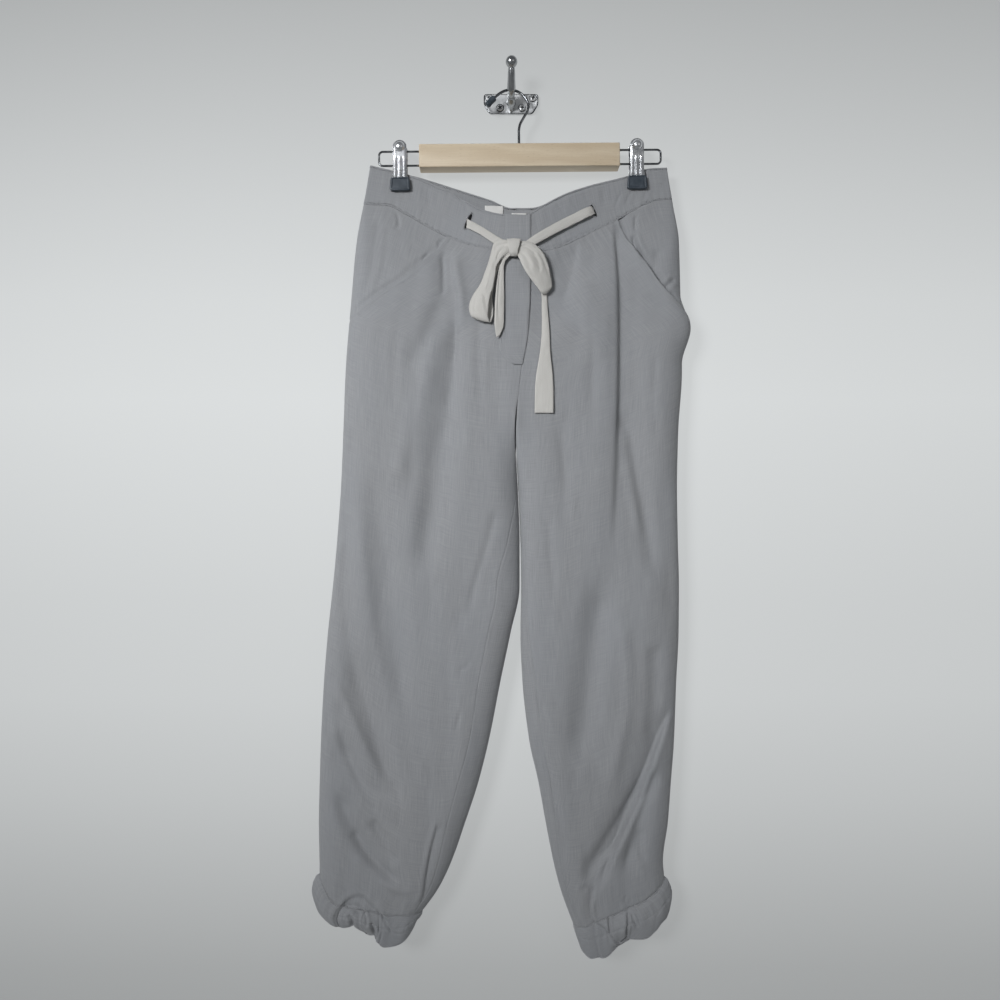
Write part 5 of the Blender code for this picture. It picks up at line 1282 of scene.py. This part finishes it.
def cuffPiece(leg):
    # Rows go down from the hem: each swells by a half sine, then draws in, and ripples round the leg.
    ring = cuffRing(leg)
    centre = ring.mean(axis=0)
    angle = np.arctan2(ring[:, 1] - centre[1], ring[:, 0] - centre[0])
    out2 = np.stack((cuff["flat"] * np.cos(angle), np.sin(angle)), axis=-1)
    turn = circle(len(ring))
    loud = 1 - cuff["uneven"] + cuff["uneven"] * np.sin(3 * turn)
    ruffle = np.sin(cuff["ruffles"] * turn + cuff["drift"] * np.sin(2 * turn)) * loud
    small = np.sin(cuff["fineRuffles"] * turn + cuff["fineDrift"] * np.sin(3 * turn + 1.0))
    toFront = cuffZone("frontRipple", np.sin(angle))
    outerWay = signOf(leg) * np.cos(angle)
    atOuter, atInner = cuffZone("outer", outerWay), cuffZone("inner", -outerWay)
    fullness = cuff["inner"] + (1 - cuff["inner"]) * cuffZone("full", outerWay)
    level = cuffLevels[:, None]
    bulge = np.sin(math.pi * np.minimum(1.0, level * cuff["swellOver"]))
    swell = (cuff["swell"] * bulge - cuff["draw"] * level ** 2) * fullness
    outerBulge = np.sin(math.pi * (cuff["outerFrom"] + cuff["outerOver"] * level))
    swell = swell + (cuff["outerSwell"] * outerBulge - swell) * atOuter
    shrink = 1 - cuff["narrow"] * level ** 2
    loudness = cuff["ripple"]["back"] + (cuff["ripple"]["front"] - cuff["ripple"]["back"]) * toFront
    wave = np.sin(math.pi * np.minimum(1.0, cuff["rippleFrom"] + cuff["rippleOver"] * level))
    ripple = loudness * ruffle * wave * (1 - cuff["innerCalm"] * atInner)
    channel = cuff["channelDeep"] * np.exp(-((level - cuff["channel"]) / cuff["channelWide"]) ** 2)
    pucker = cuff["fineDepth"] * small * np.exp(-((level - cuff["channel"]) / cuff["puckerWide"]) ** 2)
    started = ease(level / cuff["start"])
    reach = (swell + ripple + pucker - channel) * started
    lean = signOf(leg) * cuff["lean"] * atInner * level
    x = centre[0] + (ring[:, 0] - centre[0]) * shrink + reach * out2[:, 0] + lean
    depth = centre[1] + (ring[:, 1] - centre[1]) * shrink + reach * out2[:, 1]
    top = ring[:, 2] - cloth["seam"]
    least = cuff["least"] + (cuff["leastOuter"] - cuff["least"]) * atOuter
    height = top - np.maximum(top - curveFrom(cuffFoot[leg], x), least) * level
    front, back = cuffZone("tucks", np.sin(angle)), cuffZone("tucks", -np.sin(angle))
    before = creaseField(leg, "cuff", ring[:, 0], ring[:, 2])
    push = front * (creaseField(leg, "cuff", x, height) - before)
    push = push + back * creaseField(leg, "cuff", 2 * centre[0] - x, height) * started
    noise = softNoise(x / cuff["noiseWide"], height / cuff["noiseTall"], cuff["noiseSeed"])
    push = drape["cuff"] * push + cuff["noise"] * noise * started
    points = pointsOf(x, depth - push * np.sin(angle), height)
    piece = gridPiece("cuff" + leg.capitalize(), points, "linen", cloth["wall"], ("cuff_" + leg,), roundColumns=True)
    closed = np.concatenate((points, points[:, :1]), axis=1)
    declare(piece, closed, ("leg_front_" + leg,))
    return points


fronts = {leg: legFront(leg) for leg in ("right", "left")}
for leg in ("right", "left"):
    legBack(leg)
    pocketFacing(leg)
bands = waistbands()
backBand = waistbandBack()
waistbandTab()
flyPlacket()
labelPieces()
cuffRows = {leg: cuffPiece(leg) for leg in ("right", "left")}
print("cloth made")


# Stitching: short round-ended threads along a line, all of a seam in one piece

thread = {
    "pitch": 2.6, "length": 1.9, "radius": 0.17, "sides": 6, "rings": (-0.5, -0.36, 0.0, 0.36, 0.5),
    "widths": (0.15, 0.8, 1.0, 0.8, 0.15), "ahead": 0.6, "lift": 0.12,
}


def stitches(name, lines, pitch=thread["pitch"], length=thread["length"], radius=thread["radius"]):
    # One stitch is a spindle; copies are laid along each line by its tangent, all at once.
    along, width = np.array(thread["rings"]), np.array(thread["widths"])
    places, aims = [], []
    for line in lines:
        run = lengthAlong(line)
        at = np.arange(pitch / 2, run[-1] - pitch / 3, pitch)
        spot, ahead = (
            np.stack([np.interp(at + shift, run, line[:, k]) for k in range(3)], axis=-1)
            for shift in (0.0, thread["ahead"])
        )
        places.append(spot)
        aims.append(ahead - spot)
    spot, aim = (np.concatenate(parts)[:, None, None, :] for parts in (places, aims))
    aim = unit(aim)
    sideways = unit(np.cross(aim, outwardAxis))
    turn = circle(thread["sides"])[:, None]
    ring = sideways * np.cos(turn) + np.cross(aim, sideways) * np.sin(turn)
    body = spot + aim * (along * length)[:, None, None] + ring * (width * radius)[:, None, None]
    rows, sides = len(along), thread["sides"]
    one = gridFaces(rows, sides, roundColumns=True)
    caps = np.array([[0, 1, 2, 3], [0, 3, 4, 5]])
    ends = np.concatenate((caps[:, ::-1], caps + (rows - 1) * sides))
    shape = np.concatenate((one[:, ::-1], ends[:, ::-1]))
    shift = (np.arange(len(spot)) * rows * sides)[:, None, None]
    vertices = body.reshape(-1, 3)
    return makeMesh(name, vertices, (shape[None] + shift).reshape(-1, 4), vertices[:, (0, 2)], "linen")


def insetLine(points, side, inset, lift):  # a line at a distance in from one edge of a panel, lifted off it
    grid = points if side in ("first", "last") else np.swapaxes(points, 0, 1)
    if side in ("last", "foot"):
        grid = grid[:, ::-1]
    run = gridRun(grid, 1)
    target = np.full((len(grid), 1), inset)
    line = np.stack([readRows(run, grid[..., k], target)[:, 0] for k in range(3)], axis=-1)
    line[:, 1] += lift
    return line


insets = {"pocket": 5.0, "bandFoot": 2.2, "bandTop": 2.0, "hem": 1.6, "fly": (2.0, 5.0), "tab": (2.6, 2.0)}


def seamStitches():
    lines = []
    wall, bandLift = cloth["wall"] / 2 + thread["lift"], cloth["bandWall"] / 2 + thread["lift"]
    for leg in ("right", "left"):
        mouth = insetLine(fronts[leg], "first", insets["pocket"], wall)
        lines.append(mouth[mouth[:, 2] > pocketMouth[leg][-1][1]])
    stitches("stitchesPockets", lines)
    rows = (("foot", insets["bandFoot"]), ("top", insets["bandTop"]))
    lines = [insetLine(bands[leg], side, inset, bandLift) for side, inset in rows for leg in ("right", "left")]
    lines += [insetLine(backBand, side, inset, -bandLift) for side, inset in rows]
    stitches("stitchesWaist", lines)
    lines = []
    for leg in ("right", "left"):
        lines.append(insetLine(fronts[leg], "foot", insets["hem"], wall))
        ring = cuffRows[leg]
        row = ring[np.abs(cuffLevels - cuff["channel"]).argmin()]
        centre = row.mean(axis=0)
        away = row[:, :2] - centre[:2]
        row = row + np.column_stack((unit(away) * wall, np.zeros(len(row))))
        lines.append(np.concatenate((row, row[:1])))
    stitches("stitchesCuffs", lines)


def flyStitches():
    # Two rows inside the J's straight side and round its foot, and one down each side of the tab.
    lines = []
    for inset in insets["fly"]:
        height = np.linspace(fly["edge"][0][0] - 3.0, fly["foot"] + inset, 120)
        x, _ = flySides(height, inset, fly["stitchSlack"])
        depth = frontFace(x, height) + cloth["wall"] / 2 + fly["lift"] + fly["wall"] + fly["stitchLift"]
        lines.append(pointsOf(x, depth, height))
    for x0 in (tabSize["x0"] + insets["tab"][0], tabSize["x1"] - insets["tab"][1]):
        height = np.linspace(float(curveFrom(waistFrontTop, x0)) - 3.0, float(curveFrom(waistSeam, x0)) + 2.0, 40)
        depth = frontFace(x0, height) + cloth["bandWall"] / 2 + gap + tabSize["wall"] + 0.1
        lines.append(pointsOf(x0, depth, height))
    stitches("stitchesFly", lines)


border = {"reach": (0.5, 2.0), "count": 46, "lift": 0.1, "pitch": 1.2, "length": 1.8, "radius": 0.26}


def slitStitches():
    # A close buttonhole border: threads set across the slit's outline.
    spokes = []
    for leg in slits:
        ends = []
        for reach in border["reach"]:
            x, z = slitOutline(leg, reach, border["count"])
            ends.append(pointsOf(x, frontFace(x, z) + cloth["bandWall"] / 2 + border["lift"], z))
        spokes += list(np.stack(ends, axis=1))
    stitches("stitchesSlits", spokes, border["pitch"], border["length"], border["radius"])


seamStitches()
flyStitches()
slitStitches()
print("stitching made")


# The hanger: wooden bar, side wires, crook and two sprung clips

bar = {
    "length": 260.0, "height": 30.0, "depth": 20.0, "x": 10.5, "z": -81.5, "tilt": 0.45, "bevel": 1.3, "hang": 22.0,
}
sideWire = {"radius": 1.35, "rise": 9.2, "right": 183.0, "left": 184.5, "bend": 5.0}
clip = {
    "right": -155.2, "left": 152.6, "width": 17.5, "sheet": 1.2, "tipWidth": 27.0, "tipHeight": 17.6,
    "tipOut": 8.5, "tipInner": 1.15, "tipSoft": 0.28, "tipDip": 0.9, "tipTaper": 0.12, "tipUp": -35.4,
    "dome": 6.6, "domeUp": 12.6, "domeWall": 0.3, "top": 21.4, "foot": -34.0, "flare": 1.6, "groove": 3.2,
    "grooveDeep": 1.5, "rimDeep": 0.9,
}
spring = {"turns": 6.5, "length": 12.0, "deep": 5.4, "tall": 6.5, "radius": 0.75, "points": 330}
jawProfile = ((21.4, 5.6), (13.0, 7.4), (4.0, 7.0), (-6.0, 6.3), (-20.0, 6.3), (-34.0, 6.3))


def hangerPlace(points):  # from the hanger's own level frame to the garment's: a small tilt, then its place
    x, z = turned(points[..., 0], points[..., 2], -math.radians(bar["tilt"]))
    return pointsOf(x + bar["x"], points[..., 1] + bar["hang"], z + bar["z"])


def ringsAlong(line, first, second, radii, sides):  # circles about a line's points, in two directions each
    turn = circle(sides)[:, None]
    return line[:, None] + radii * (first[:, None] * np.cos(turn) + second[..., None, :] * np.sin(turn))


def tubeGrid(line, radii, sides):
    # Rings square to the line. Their first direction is square to the depth too, or to x where the line runs
    # along the depth.
    tangent = unit(np.gradient(line, axis=0))
    side = np.cross(tangent, outwardAxis)
    weak = np.linalg.norm(side, axis=1) < 0.2
    side[weak] = np.cross(tangent[weak], (1.0, 0.0, 0.0))
    side = unit(side)
    return ringsAlong(line, side, np.cross(tangent, side), radii[:, None, None], sides)


def tubePiece(name, line, radii, slot, replaced, sides):
    # Each end is closed by a ring of almost no radius, a thousandth of a step further on.
    ends = (line[:1] + (line[:1] - line[1:2]) * 1e-3, line[-1:] + (line[-1:] - line[-2:-1]) * 1e-3)
    radii = np.concatenate(([0.02], np.broadcast_to(radii, len(line)), [0.02]))
    line = np.concatenate((ends[0], line, ends[1]))
    return gridPiece(name, tubeGrid(line, radii, sides), slot, replaced=replaced, roundColumns=True)


def hangerBar():
    corner = np.array([(x, y, z) for x in (-0.5, 0.5) for y in (-0.5, 0.5) for z in (-0.5, 0.5)])
    points = hangerPlace(corner * (bar["length"], bar["depth"], bar["height"]))
    sides = np.array([(0, 1, 3, 2), (4, 6, 7, 5), (0, 4, 5, 1), (2, 3, 7, 6), (0, 2, 6, 4), (1, 5, 7, 3)])
    piece = makeMesh("hangerBar", points, sides, None, "beech")
    fixNormals(piece)
    softened = piece.modifiers.new("edges", "BEVEL")
    softened.width = bar["bevel"] * mm
    softened.segments = 4
    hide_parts("hanger_bar")


def hangerWires():
    for side, way in (("right", -1.0), ("left", 1.0)):
        start, reach = way * (bar["length"] / 2 + gap), way * sideWire[side]
        rise, bend = sideWire["rise"], sideWire["bend"]
        quarter = np.linspace(math.pi / 2, 0, 12)
        x = reach - way * bend * (1 - np.cos(quarter))
        upper = pointsOf(x, 0.0, rise - bend + bend * np.sin(quarter))
        lower = upper[::-1] * (1, 1, -1)
        runs = np.linspace(0, 1, 12)[:, None]
        first = np.array([(start, 0.0, rise)]) * (1 - runs) + upper[:1] * runs
        last = lower[-1:] * (1 - runs) + np.array([(start, 0.0, -rise)]) * runs
        line = hangerPlace(np.concatenate((first[:-1], upper, lower, last[1:])))
        tubePiece("hangerWire" + side.capitalize(), line, sideWire["radius"], "steel", ("hanger_wire_" + side,), 16)


crook = {
    "radius": 1.7, "from": 2.0, "points": 150, "sides": 18,
    "tipRadius": 4.1, "tipLength": 16.0, "tipRound": 2.6, "tipLeast": 0.1, "tipFull": 0.98,
    "tipPoints": 900, "tipSides": 24,
}
crookRoute = (
    (-32.0, -13.8), (-28.5, -9.6), (-21.8, -3.0), (-14.2, 3.2), (-7.0, 6.4), (-0.3, 7.0), (7.0, 5.6),
    (14.8, 0.6), (20.4, -6.4), (22.6, -13.6), (21.2, -19.6), (15.6, -30.0), (11.2, -38.5), (10.0, -45.0),
    (10.0, -54.0), (10.0, -65.8),
)


def hangerHook():
    route = [(x, bar["hang"], z) for x, z in crookRoute]
    line, sleeve = through(route, crook["points"]), through(route, crook["tipPoints"])
    line = line[lengthAlong(line) > crook["from"]]
    tubePiece("hangerHook", line, crook["radius"], "steel", ("hanger_hook",), crook["sides"])
    # The soft sleeve on its end: a capsule, its radius rounded over a quarter circle at both ends.
    run = lengthAlong(sleeve)
    run = run[run < crook["tipLength"]]
    least = crook["tipLeast"]
    end = np.clip(np.minimum(run + least, run[-1] + least - run) / crook["tipRound"], 0.0, 1.0)
    radii = crook["tipRadius"] * np.sqrt(1 - crook["tipFull"] * (1 - end) ** 2)
    tubePiece("hangerTip", sleeve[:len(run)], radii, "rubber", (), crook["tipSides"])


jaw = {
    "columns": 37, "rows": 90, "topLeast": 0.02, "flareFrom": -16.0, "flareOver": 16.0, "grooveHead": 0.5,
    "grooveFoot": -31.0, "grooveFade": 4.0, "rimFrom": 0.74, "rimOver": 0.2, "rimFade": 5.0,
}


def clipJaw(side, face, way):
    # A pressed strip: round at the top, with two long grooves below the rivet and a flare over the tip.
    u = np.linspace(-1, 1, jaw["columns"])
    height = clip["top"] + (clip["foot"] - clip["top"]) * np.linspace(0, 1, jaw["rows"])[:, None]
    fromTop = clip["top"] - height
    half = clip["width"] / 2 * edgeRound(fromTop + jaw["topLeast"], clip["width"] / 2)
    half = half + clip["flare"] * ease((jaw["flareFrom"] - height) / jaw["flareOver"])
    x = u * half
    out = curveFrom(jawProfile, height) + clip["sheet"] / 2
    head = ease((jaw["grooveHead"] - height) / jaw["grooveFade"])
    foot = ease((height - jaw["grooveFoot"]) / jaw["grooveFade"])
    grooves = np.exp(-(np.abs(x) - clip["groove"]) ** 2) * head * foot
    rim = ease((np.abs(u) - jaw["rimFrom"]) / jaw["rimOver"]) * ease(fromTop / jaw["rimFade"])
    out = out - clip["grooveDeep"] * grooves - clip["rimDeep"] * rim
    points = pointsOf(clip[side] + x, way * out, height)
    name = "clip" + face.capitalize() + "Jaw" + side.capitalize()
    gridPiece(name, hangerPlace(points), "chrome", clip["sheet"], (f"clip_{face}_jaw_{side}",))


sleeveDip = {"rows": 61, "around": 80, "halfWide": 0.84, "sideFade": 0.08, "halfTall": 0.78, "endFade": 0.1}


def clipTip(side, face, way):
    # A dipped sleeve: a soft-cornered block, wider at its foot, with a raised rim round its outer face.
    polar, turn = np.linspace(0, math.pi, sleeveDip["rows"])[:, None], circle(sleeveDip["around"])
    soft = clip["tipSoft"]
    ring = np.sin(polar) ** soft
    x, z = signedPower(np.cos(turn), soft) * ring, signedPower(np.sin(turn), soft) * ring
    y = signedPower(np.cos(polar), soft)
    sides = ease((sleeveDip["halfWide"] - np.abs(x)) / sleeveDip["sideFade"])
    dip = clip["tipDip"] * sides * ease((sleeveDip["halfTall"] - np.abs(z)) / sleeveDip["endFade"]) * (y > 0)
    taper = 1 - clip["tipTaper"] * (z + 1) / 2
    inner = clip["tipInner"] + cloth["bandWall"] / 2 + gap
    thick = clip["tipOut"] - inner
    depth = inner + thick / 2 + y * thick / 2 - dip
    across, up = x * clip["tipWidth"] / 2 * taper, clip["tipUp"] + z * clip["tipHeight"] / 2
    points = pointsOf(clip[side] + across, way * depth, up)
    name = "clip" + face.capitalize() + "Tip" + side.capitalize()
    piece = gridPiece(name, hangerPlace(points), "rubber", replaced=(f"clip_{face}_tip_{side}",), roundColumns=True)
    fixNormals(piece)


rivet = {"rows": 26, "around": 40, "lift": 0.1}
rivetProfile = ((0.0, 4.2), (2.2, 3.9), (4.2, 3.0), (5.4, 1.8), (6.0, 0.9), (6.6, 0.0))  # radius, height


def clipRivet(side):
    # A domed head: rings whose height is read from a short profile by their radius.
    radius, turn = np.linspace(0.0, clip["dome"], rivet["rows"])[:, None], circle(rivet["around"])
    depth = jawProfile[1][1] + clip["sheet"] + rivet["lift"] + curveFrom(rivetProfile, radius)
    points = pointsOf(clip[side] + radius * np.cos(turn), depth, clip["domeUp"] + radius * np.sin(turn))
    name = "clipRivet" + side.capitalize()
    gridPiece(name, hangerPlace(points), "chrome", clip["domeWall"], ("clip_dome_" + side,), roundColumns=True)


def clipSpring(side):
    # A helix of six and a half turns, oval in the clip's plane, between the jaws.
    turn = np.linspace(0, 2 * math.pi * spring["turns"], spring["points"])
    across = np.linspace(-0.5, 0.5, spring["points"]) * spring["length"]
    line = pointsOf(clip[side] + across, spring["deep"] * np.cos(turn), spring["tall"] * np.sin(turn))
    name, line = "clipSpring" + side.capitalize(), hangerPlace(line)
    tubePiece(name, line, spring["radius"], "chrome", ("clip_spring_" + side,), 8)


hangerBar()
hangerWires()
hangerHook()
for side in ("right", "left"):
    for face, way in (("front", 1.0), ("back", -1.0)):
        clipJaw(side, face, way)
        clipTip(side, face, way)
    clipRivet(side)
    clipSpring(side)
print("hanger made")


# The coat hook on the wall

plate = {
    "thick": 3.0, "corner": 4.0, "middle": -2.0, "bevel": 0.15, "rimShare": 0.985, "rimDepth": 2.5, "rimRadius": 0.95,
}
plateProfile = (  # share of the outline and depth of each ring
    (0.02, 0.05), (1.0, 0.05), (1.0, 2.2), (0.985, 2.8), (0.955, 3.0), (0.90, 2.9), (0.87, 2.55), (0.80, 2.45),
    (0.02, 2.6),
)
plateOutline = ((-36, 11.5), (36, 11.5), (36, -2.5), (28.5, -14.6), (-28.5, -14.6), (-36, -2.5))
screwSpots = ((-29.3, 6.3), (29.3, 6.3), (-14.6, -6.6), (14.6, -6.6))
screwSize = {
    "radius": 4.3, "height": 1.9, "base": 2.9, "cross": 2.9, "slot": 0.82, "sunk": 2.0, "crossDeep": 0.4,
    "shadeRing": 4.75, "wire": 0.55, "shadeRingDepth": 2.75, "firstTurn": 0.5, "nextTurn": 0.9,
}
armRoute = (
    (3.5, -12.5, 0.8), (4.6, -9.0, 3.2), (7.0, -5.6, 5.3), (11.0, -2.8, 6.2), (15.0, -1.0, 5.6), (18.5, 0.0, 4.7),
    (22.0, 0.5, 4.5), (25.0, 1.7, 4.5), (28.8, 5.0, 5.5), (32.5, 9.2, 5.3), (36.0, 13.6, 4.9), (39.5, 18.6, 4.7),
    (42.4, 23.4, 4.3),
)
armFoot = {"sunk": 0.4, "share": 0.96}
ball = {"depth": 45.0, "height": 31.0, "radius": 7.4, "from": -58, "to": 88}


def roundedOutline(corners, radius, steps):  # each corner becomes a short curve tangent to its two sides
    outline = []
    for index, corner in enumerate(corners):
        here, before = Vector(corner), Vector(corners[index - 1])
        after = Vector(corners[(index + 1) % len(corners)])
        start = here + (before - here).normalized() * radius
        end = here + (after - here).normalized() * radius
        for step in range(steps + 1):
            t = step / steps
            outline.append(tuple(start * (1 - t) ** 2 + here * 2 * t * (1 - t) + end * t * t))
    return np.array(outline)


def hookPlate():
    # Rings of the outline shrink towards the middle while the face rises over a soft rim.
    x, z = roundedOutline(plateOutline, plate["corner"], 8).T
    z, middle = z - plate["middle"], plate["middle"]
    rings = np.stack([pointsOf(x * share, depth, z * share + middle) for share, depth in plateProfile])
    piece = gridPiece("hookPlate", rings, "satin", replaced=("hook_plate",), roundColumns=True)
    fixNormals(piece)
    softened = piece.modifiers.new("edges", "BEVEL")
    softened.width = plate["bevel"] * mm
    softened.segments = 2
    softened.limit_method = "ANGLE"
    # A dark wire that follows the outline round its face: painted shade along the plate's edge.
    x, z = x * plate["rimShare"], z * plate["rimShare"]
    line, away = pointsOf(x, plate["rimDepth"], z + middle), unit(pointsOf(x, 0.0, z))
    ring = ringsAlong(line, away, outwardAxis, plate["rimRadius"], 10)
    fixNormals(gridPiece("hookEdgeShade", ring, "steel", roundRows=True, roundColumns=True))


screwGrid = {"rows": 34, "around": 64, "crossRows": 8, "crossAround": 96, "shadeRingAround": 48, "shadeRingSides": 10}
screwCross = {"spread": 0.2, "sideFade": 0.3, "endFade": 0.4, "least": 0.01, "wall": 0.2}


def screwDome(radius):  # depth of a head's face at a distance from its middle
    return screwSize["base"] + screwSize["height"] * np.sqrt(1 - (radius / (screwSize["radius"] * 1.01)) ** 2)


def crossArm(across, along):  # 1 inside an arm of the cross, easing to 0 over its sides and ends
    side, end = screwSize["slot"] + screwCross["spread"] - np.abs(across), screwSize["cross"] - np.abs(along)
    return ease(side / screwCross["sideFade"]) * ease(end / screwCross["endFade"])


def hookScrews():
    # A pan head: a low dome with a cross sunk where either arm's distance is small.
    for index, (x, z) in enumerate(screwSpots):
        radius = np.linspace(0.0, 1.0, screwGrid["rows"])[:, None] * screwSize["radius"]
        turn = circle(screwGrid["around"])
        px, pz = radius * np.cos(turn), radius * np.sin(turn)
        angle = screwSize["firstTurn"] + screwSize["nextTurn"] * index
        a, b = turned(px, pz, angle)
        depth = screwDome(radius) - screwSize["sunk"] * np.maximum(crossArm(a, b), crossArm(b, a))
        head, solid = pointsOf(x + px, depth, z + pz), f"hook_screw_{index + 1}"
        gridPiece(f"hookScrew{index + 1}", head, "satin", replaced=(solid,), roundColumns=True)
        # A dark plus at the foot of the cross, painted shade in its recess: its radius is the nearer of its arm's end
        # and its arm's side.
        spin, least = circle(screwGrid["crossAround"]), screwCross["least"]
        side = screwSize["slot"] / np.maximum(np.minimum(np.abs(np.sin(spin)), np.abs(np.cos(spin))), least)
        plus = np.linspace(least, 1.0, screwGrid["crossRows"])[:, None] * np.minimum(screwSize["cross"], side)
        level = screwDome(plus) - screwSize["crossDeep"]
        cross = pointsOf(x + plus * np.cos(spin + angle), level, z + plus * np.sin(spin + angle))
        fixNormals(gridPiece(f"hookCrossShade{index + 1}", cross, "steel", screwCross["wall"], roundColumns=True))
        # A dark wire bent to a circle round the head: painted shade where the head sits on the plate.
        around = circle(screwGrid["shadeRingAround"])
        way = pointsOf(np.cos(around), 0.0, np.sin(around))
        line = way * screwSize["shadeRing"] + (x, screwSize["shadeRingDepth"], z)
        rim = ringsAlong(line, way, outwardAxis, screwSize["wire"], screwGrid["shadeRingSides"])
        fixNormals(gridPiece(f"hookScrewShade{index + 1}", rim, "steel", roundRows=True, roundColumns=True))


def hookArm():
    # A round bar whose radius follows its table, then a ball: its rings' radius is the cosine of their angle.
    route = through([(0.0, depth, z, radius) for depth, z, radius in armRoute], 70)
    aim = unit(np.array((ball["depth"] - armRoute[-1][0], ball["height"] - armRoute[-1][1])))
    angle = np.radians(np.linspace(ball["from"], ball["to"], 34))
    reach, radius = ball["radius"] * np.sin(angle), ball["radius"] * np.cos(angle)
    crown = np.column_stack((0 * reach, ball["depth"] + aim[0] * reach, ball["height"] + aim[1] * reach, radius))
    foot = [(0.0, plate["thick"] - armFoot["sunk"], armRoute[0][1], armRoute[0][2] * armFoot["share"])]
    whole = np.concatenate((foot, route, crown))
    tubePiece("hookArm", whole[:, :3], whole[:, 3], "polished", ("hook_arm",), 28)


hookPlate()
hookScrews()
hookArm()
print("hook made")


# Stage: a pale wall behind, seen only from its front, a pale floor well below, and soft studio light

stage = {
    "wall": (0.14, 0.142, 0.142, 1), "floor": (0.62, 0.63, 0.63, 1), "floorHeight": -1.62, "behind": 0.0015,
    # The backdrop's painted light: glow tones by height, darker at its foot and its head.
    "paintedGlow": tuple((at, (0.972 * tone, 1.0 * tone, 1.003 * tone)) for at, tone in (
        (0.0, 0.21), (0.18, 0.31), (0.24, 0.368), (0.32, 0.449), (0.40, 0.508), (0.48, 0.523), (0.64, 0.59),
        (0.72, 0.566), (0.80, 0.508), (0.865, 0.452), (0.947, 0.386), (1.0, 0.34))),
    "glowFoot": -1.45, "glowHead": 0.20,
}


def stagePlane(name, corners, colour, backdrop):
    # The backdrop is seen from its front alone and gives off a little light of its own, so that what stands
    # before it casts only a soft shadow. That glow is painted light: brightest at about the height of the
    # upper legs and darker above and below.
    made, start, shader = newMaterial(name, Roughness=0.95)
    spot = inSpace(start)
    tone = stretched(start, spot, (3.0, 3.0, 3.0))
    darker = tuple(0.97 * value for value in colour[:3]) + (1.0,)
    plug(tone.blend(darker, colour), shader, "Base Color")
    if backdrop:
        up = spot.parts()[2].between(stage["glowFoot"], stage["glowHead"])
        paintedGlow = start.node("ShaderNodeValToRGB", {0: up}, stops=stage["paintedGlow"])
        plug(paintedGlow, shader, "Emission Color")
        shader.inputs["Emission Strength"].default_value = 1.0
        behind = start.node("ShaderNodeNewGeometry", {}, output=6)
        clear = start.node("ShaderNodeBsdfTransparent", {})
        face = Wire(start.tree, shader.outputs[0])
        shown = start.node("ShaderNodeMixShader", {0: behind, 1: face, 2: clear})
        output = made.node_tree.nodes["Material Output"]
        made.node_tree.links.new(shown.socket, output.inputs["Surface"])
    mesh = bpy.data.meshes.new(name)
    mesh.from_pydata(corners, [], [(0, 1, 2, 3)])
    mesh.materials.append(made)
    plane = bpy.data.objects.new(name, mesh)
    bpy.context.scene.collection.objects.link(plane)


back, low = stage["behind"], stage["floorHeight"]
stagePlane("stageWall", [(-4, back, low), (4, back, low), (4, back, 3), (-4, back, 3)], stage["wall"], True)
stagePlane("stageFloor", [(-4, -5, low), (4, -5, low), (4, 5, low), (-4, 5, low)], stage["floor"], False)


def softLight(name, spot, aim, size, power, colour=(1, 1, 1), spread=180):
    lamp = bpy.data.lights.new(name, "AREA")
    lamp.shape = "RECTANGLE"
    lamp.size, lamp.size_y = size
    lamp.energy = power
    lamp.color = colour
    lamp.spread = math.radians(spread)
    made = bpy.data.objects.new(name, lamp)
    made.location = spot
    made.rotation_euler = (Vector(aim) - Vector(spot)).to_track_quat("-Z", "Y").to_euler()
    bpy.context.scene.collection.objects.link(made)


softLight("keyLight", (-1.2, -1.9, 0.12), (-0.03, 0.0, -0.48), (0.7, 0.6), 4.6, (0.97, 0.985, 1.0), 56)
softLight("fillLight", (1.5, -2.2, 0.0), (0.0, 0.0, -0.3), (1.6, 1.2), 3.6, (1.0, 0.985, 0.965))
softLight("backLight", (0.4, 2.2, 0.8), (0.0, 0.0, -0.5), (1.6, 1.6), 30.0)
world = bpy.data.worlds.new("studio")
bpy.context.scene.world = world
world.use_nodes = True
world.node_tree.nodes["Background"].inputs["Color"].default_value = (0.80, 0.83, 0.86, 1)
world.node_tree.nodes["Background"].inputs["Strength"].default_value = 0.20
bpy.context.scene.view_settings.view_transform = "Standard"
print("stage and lights set")
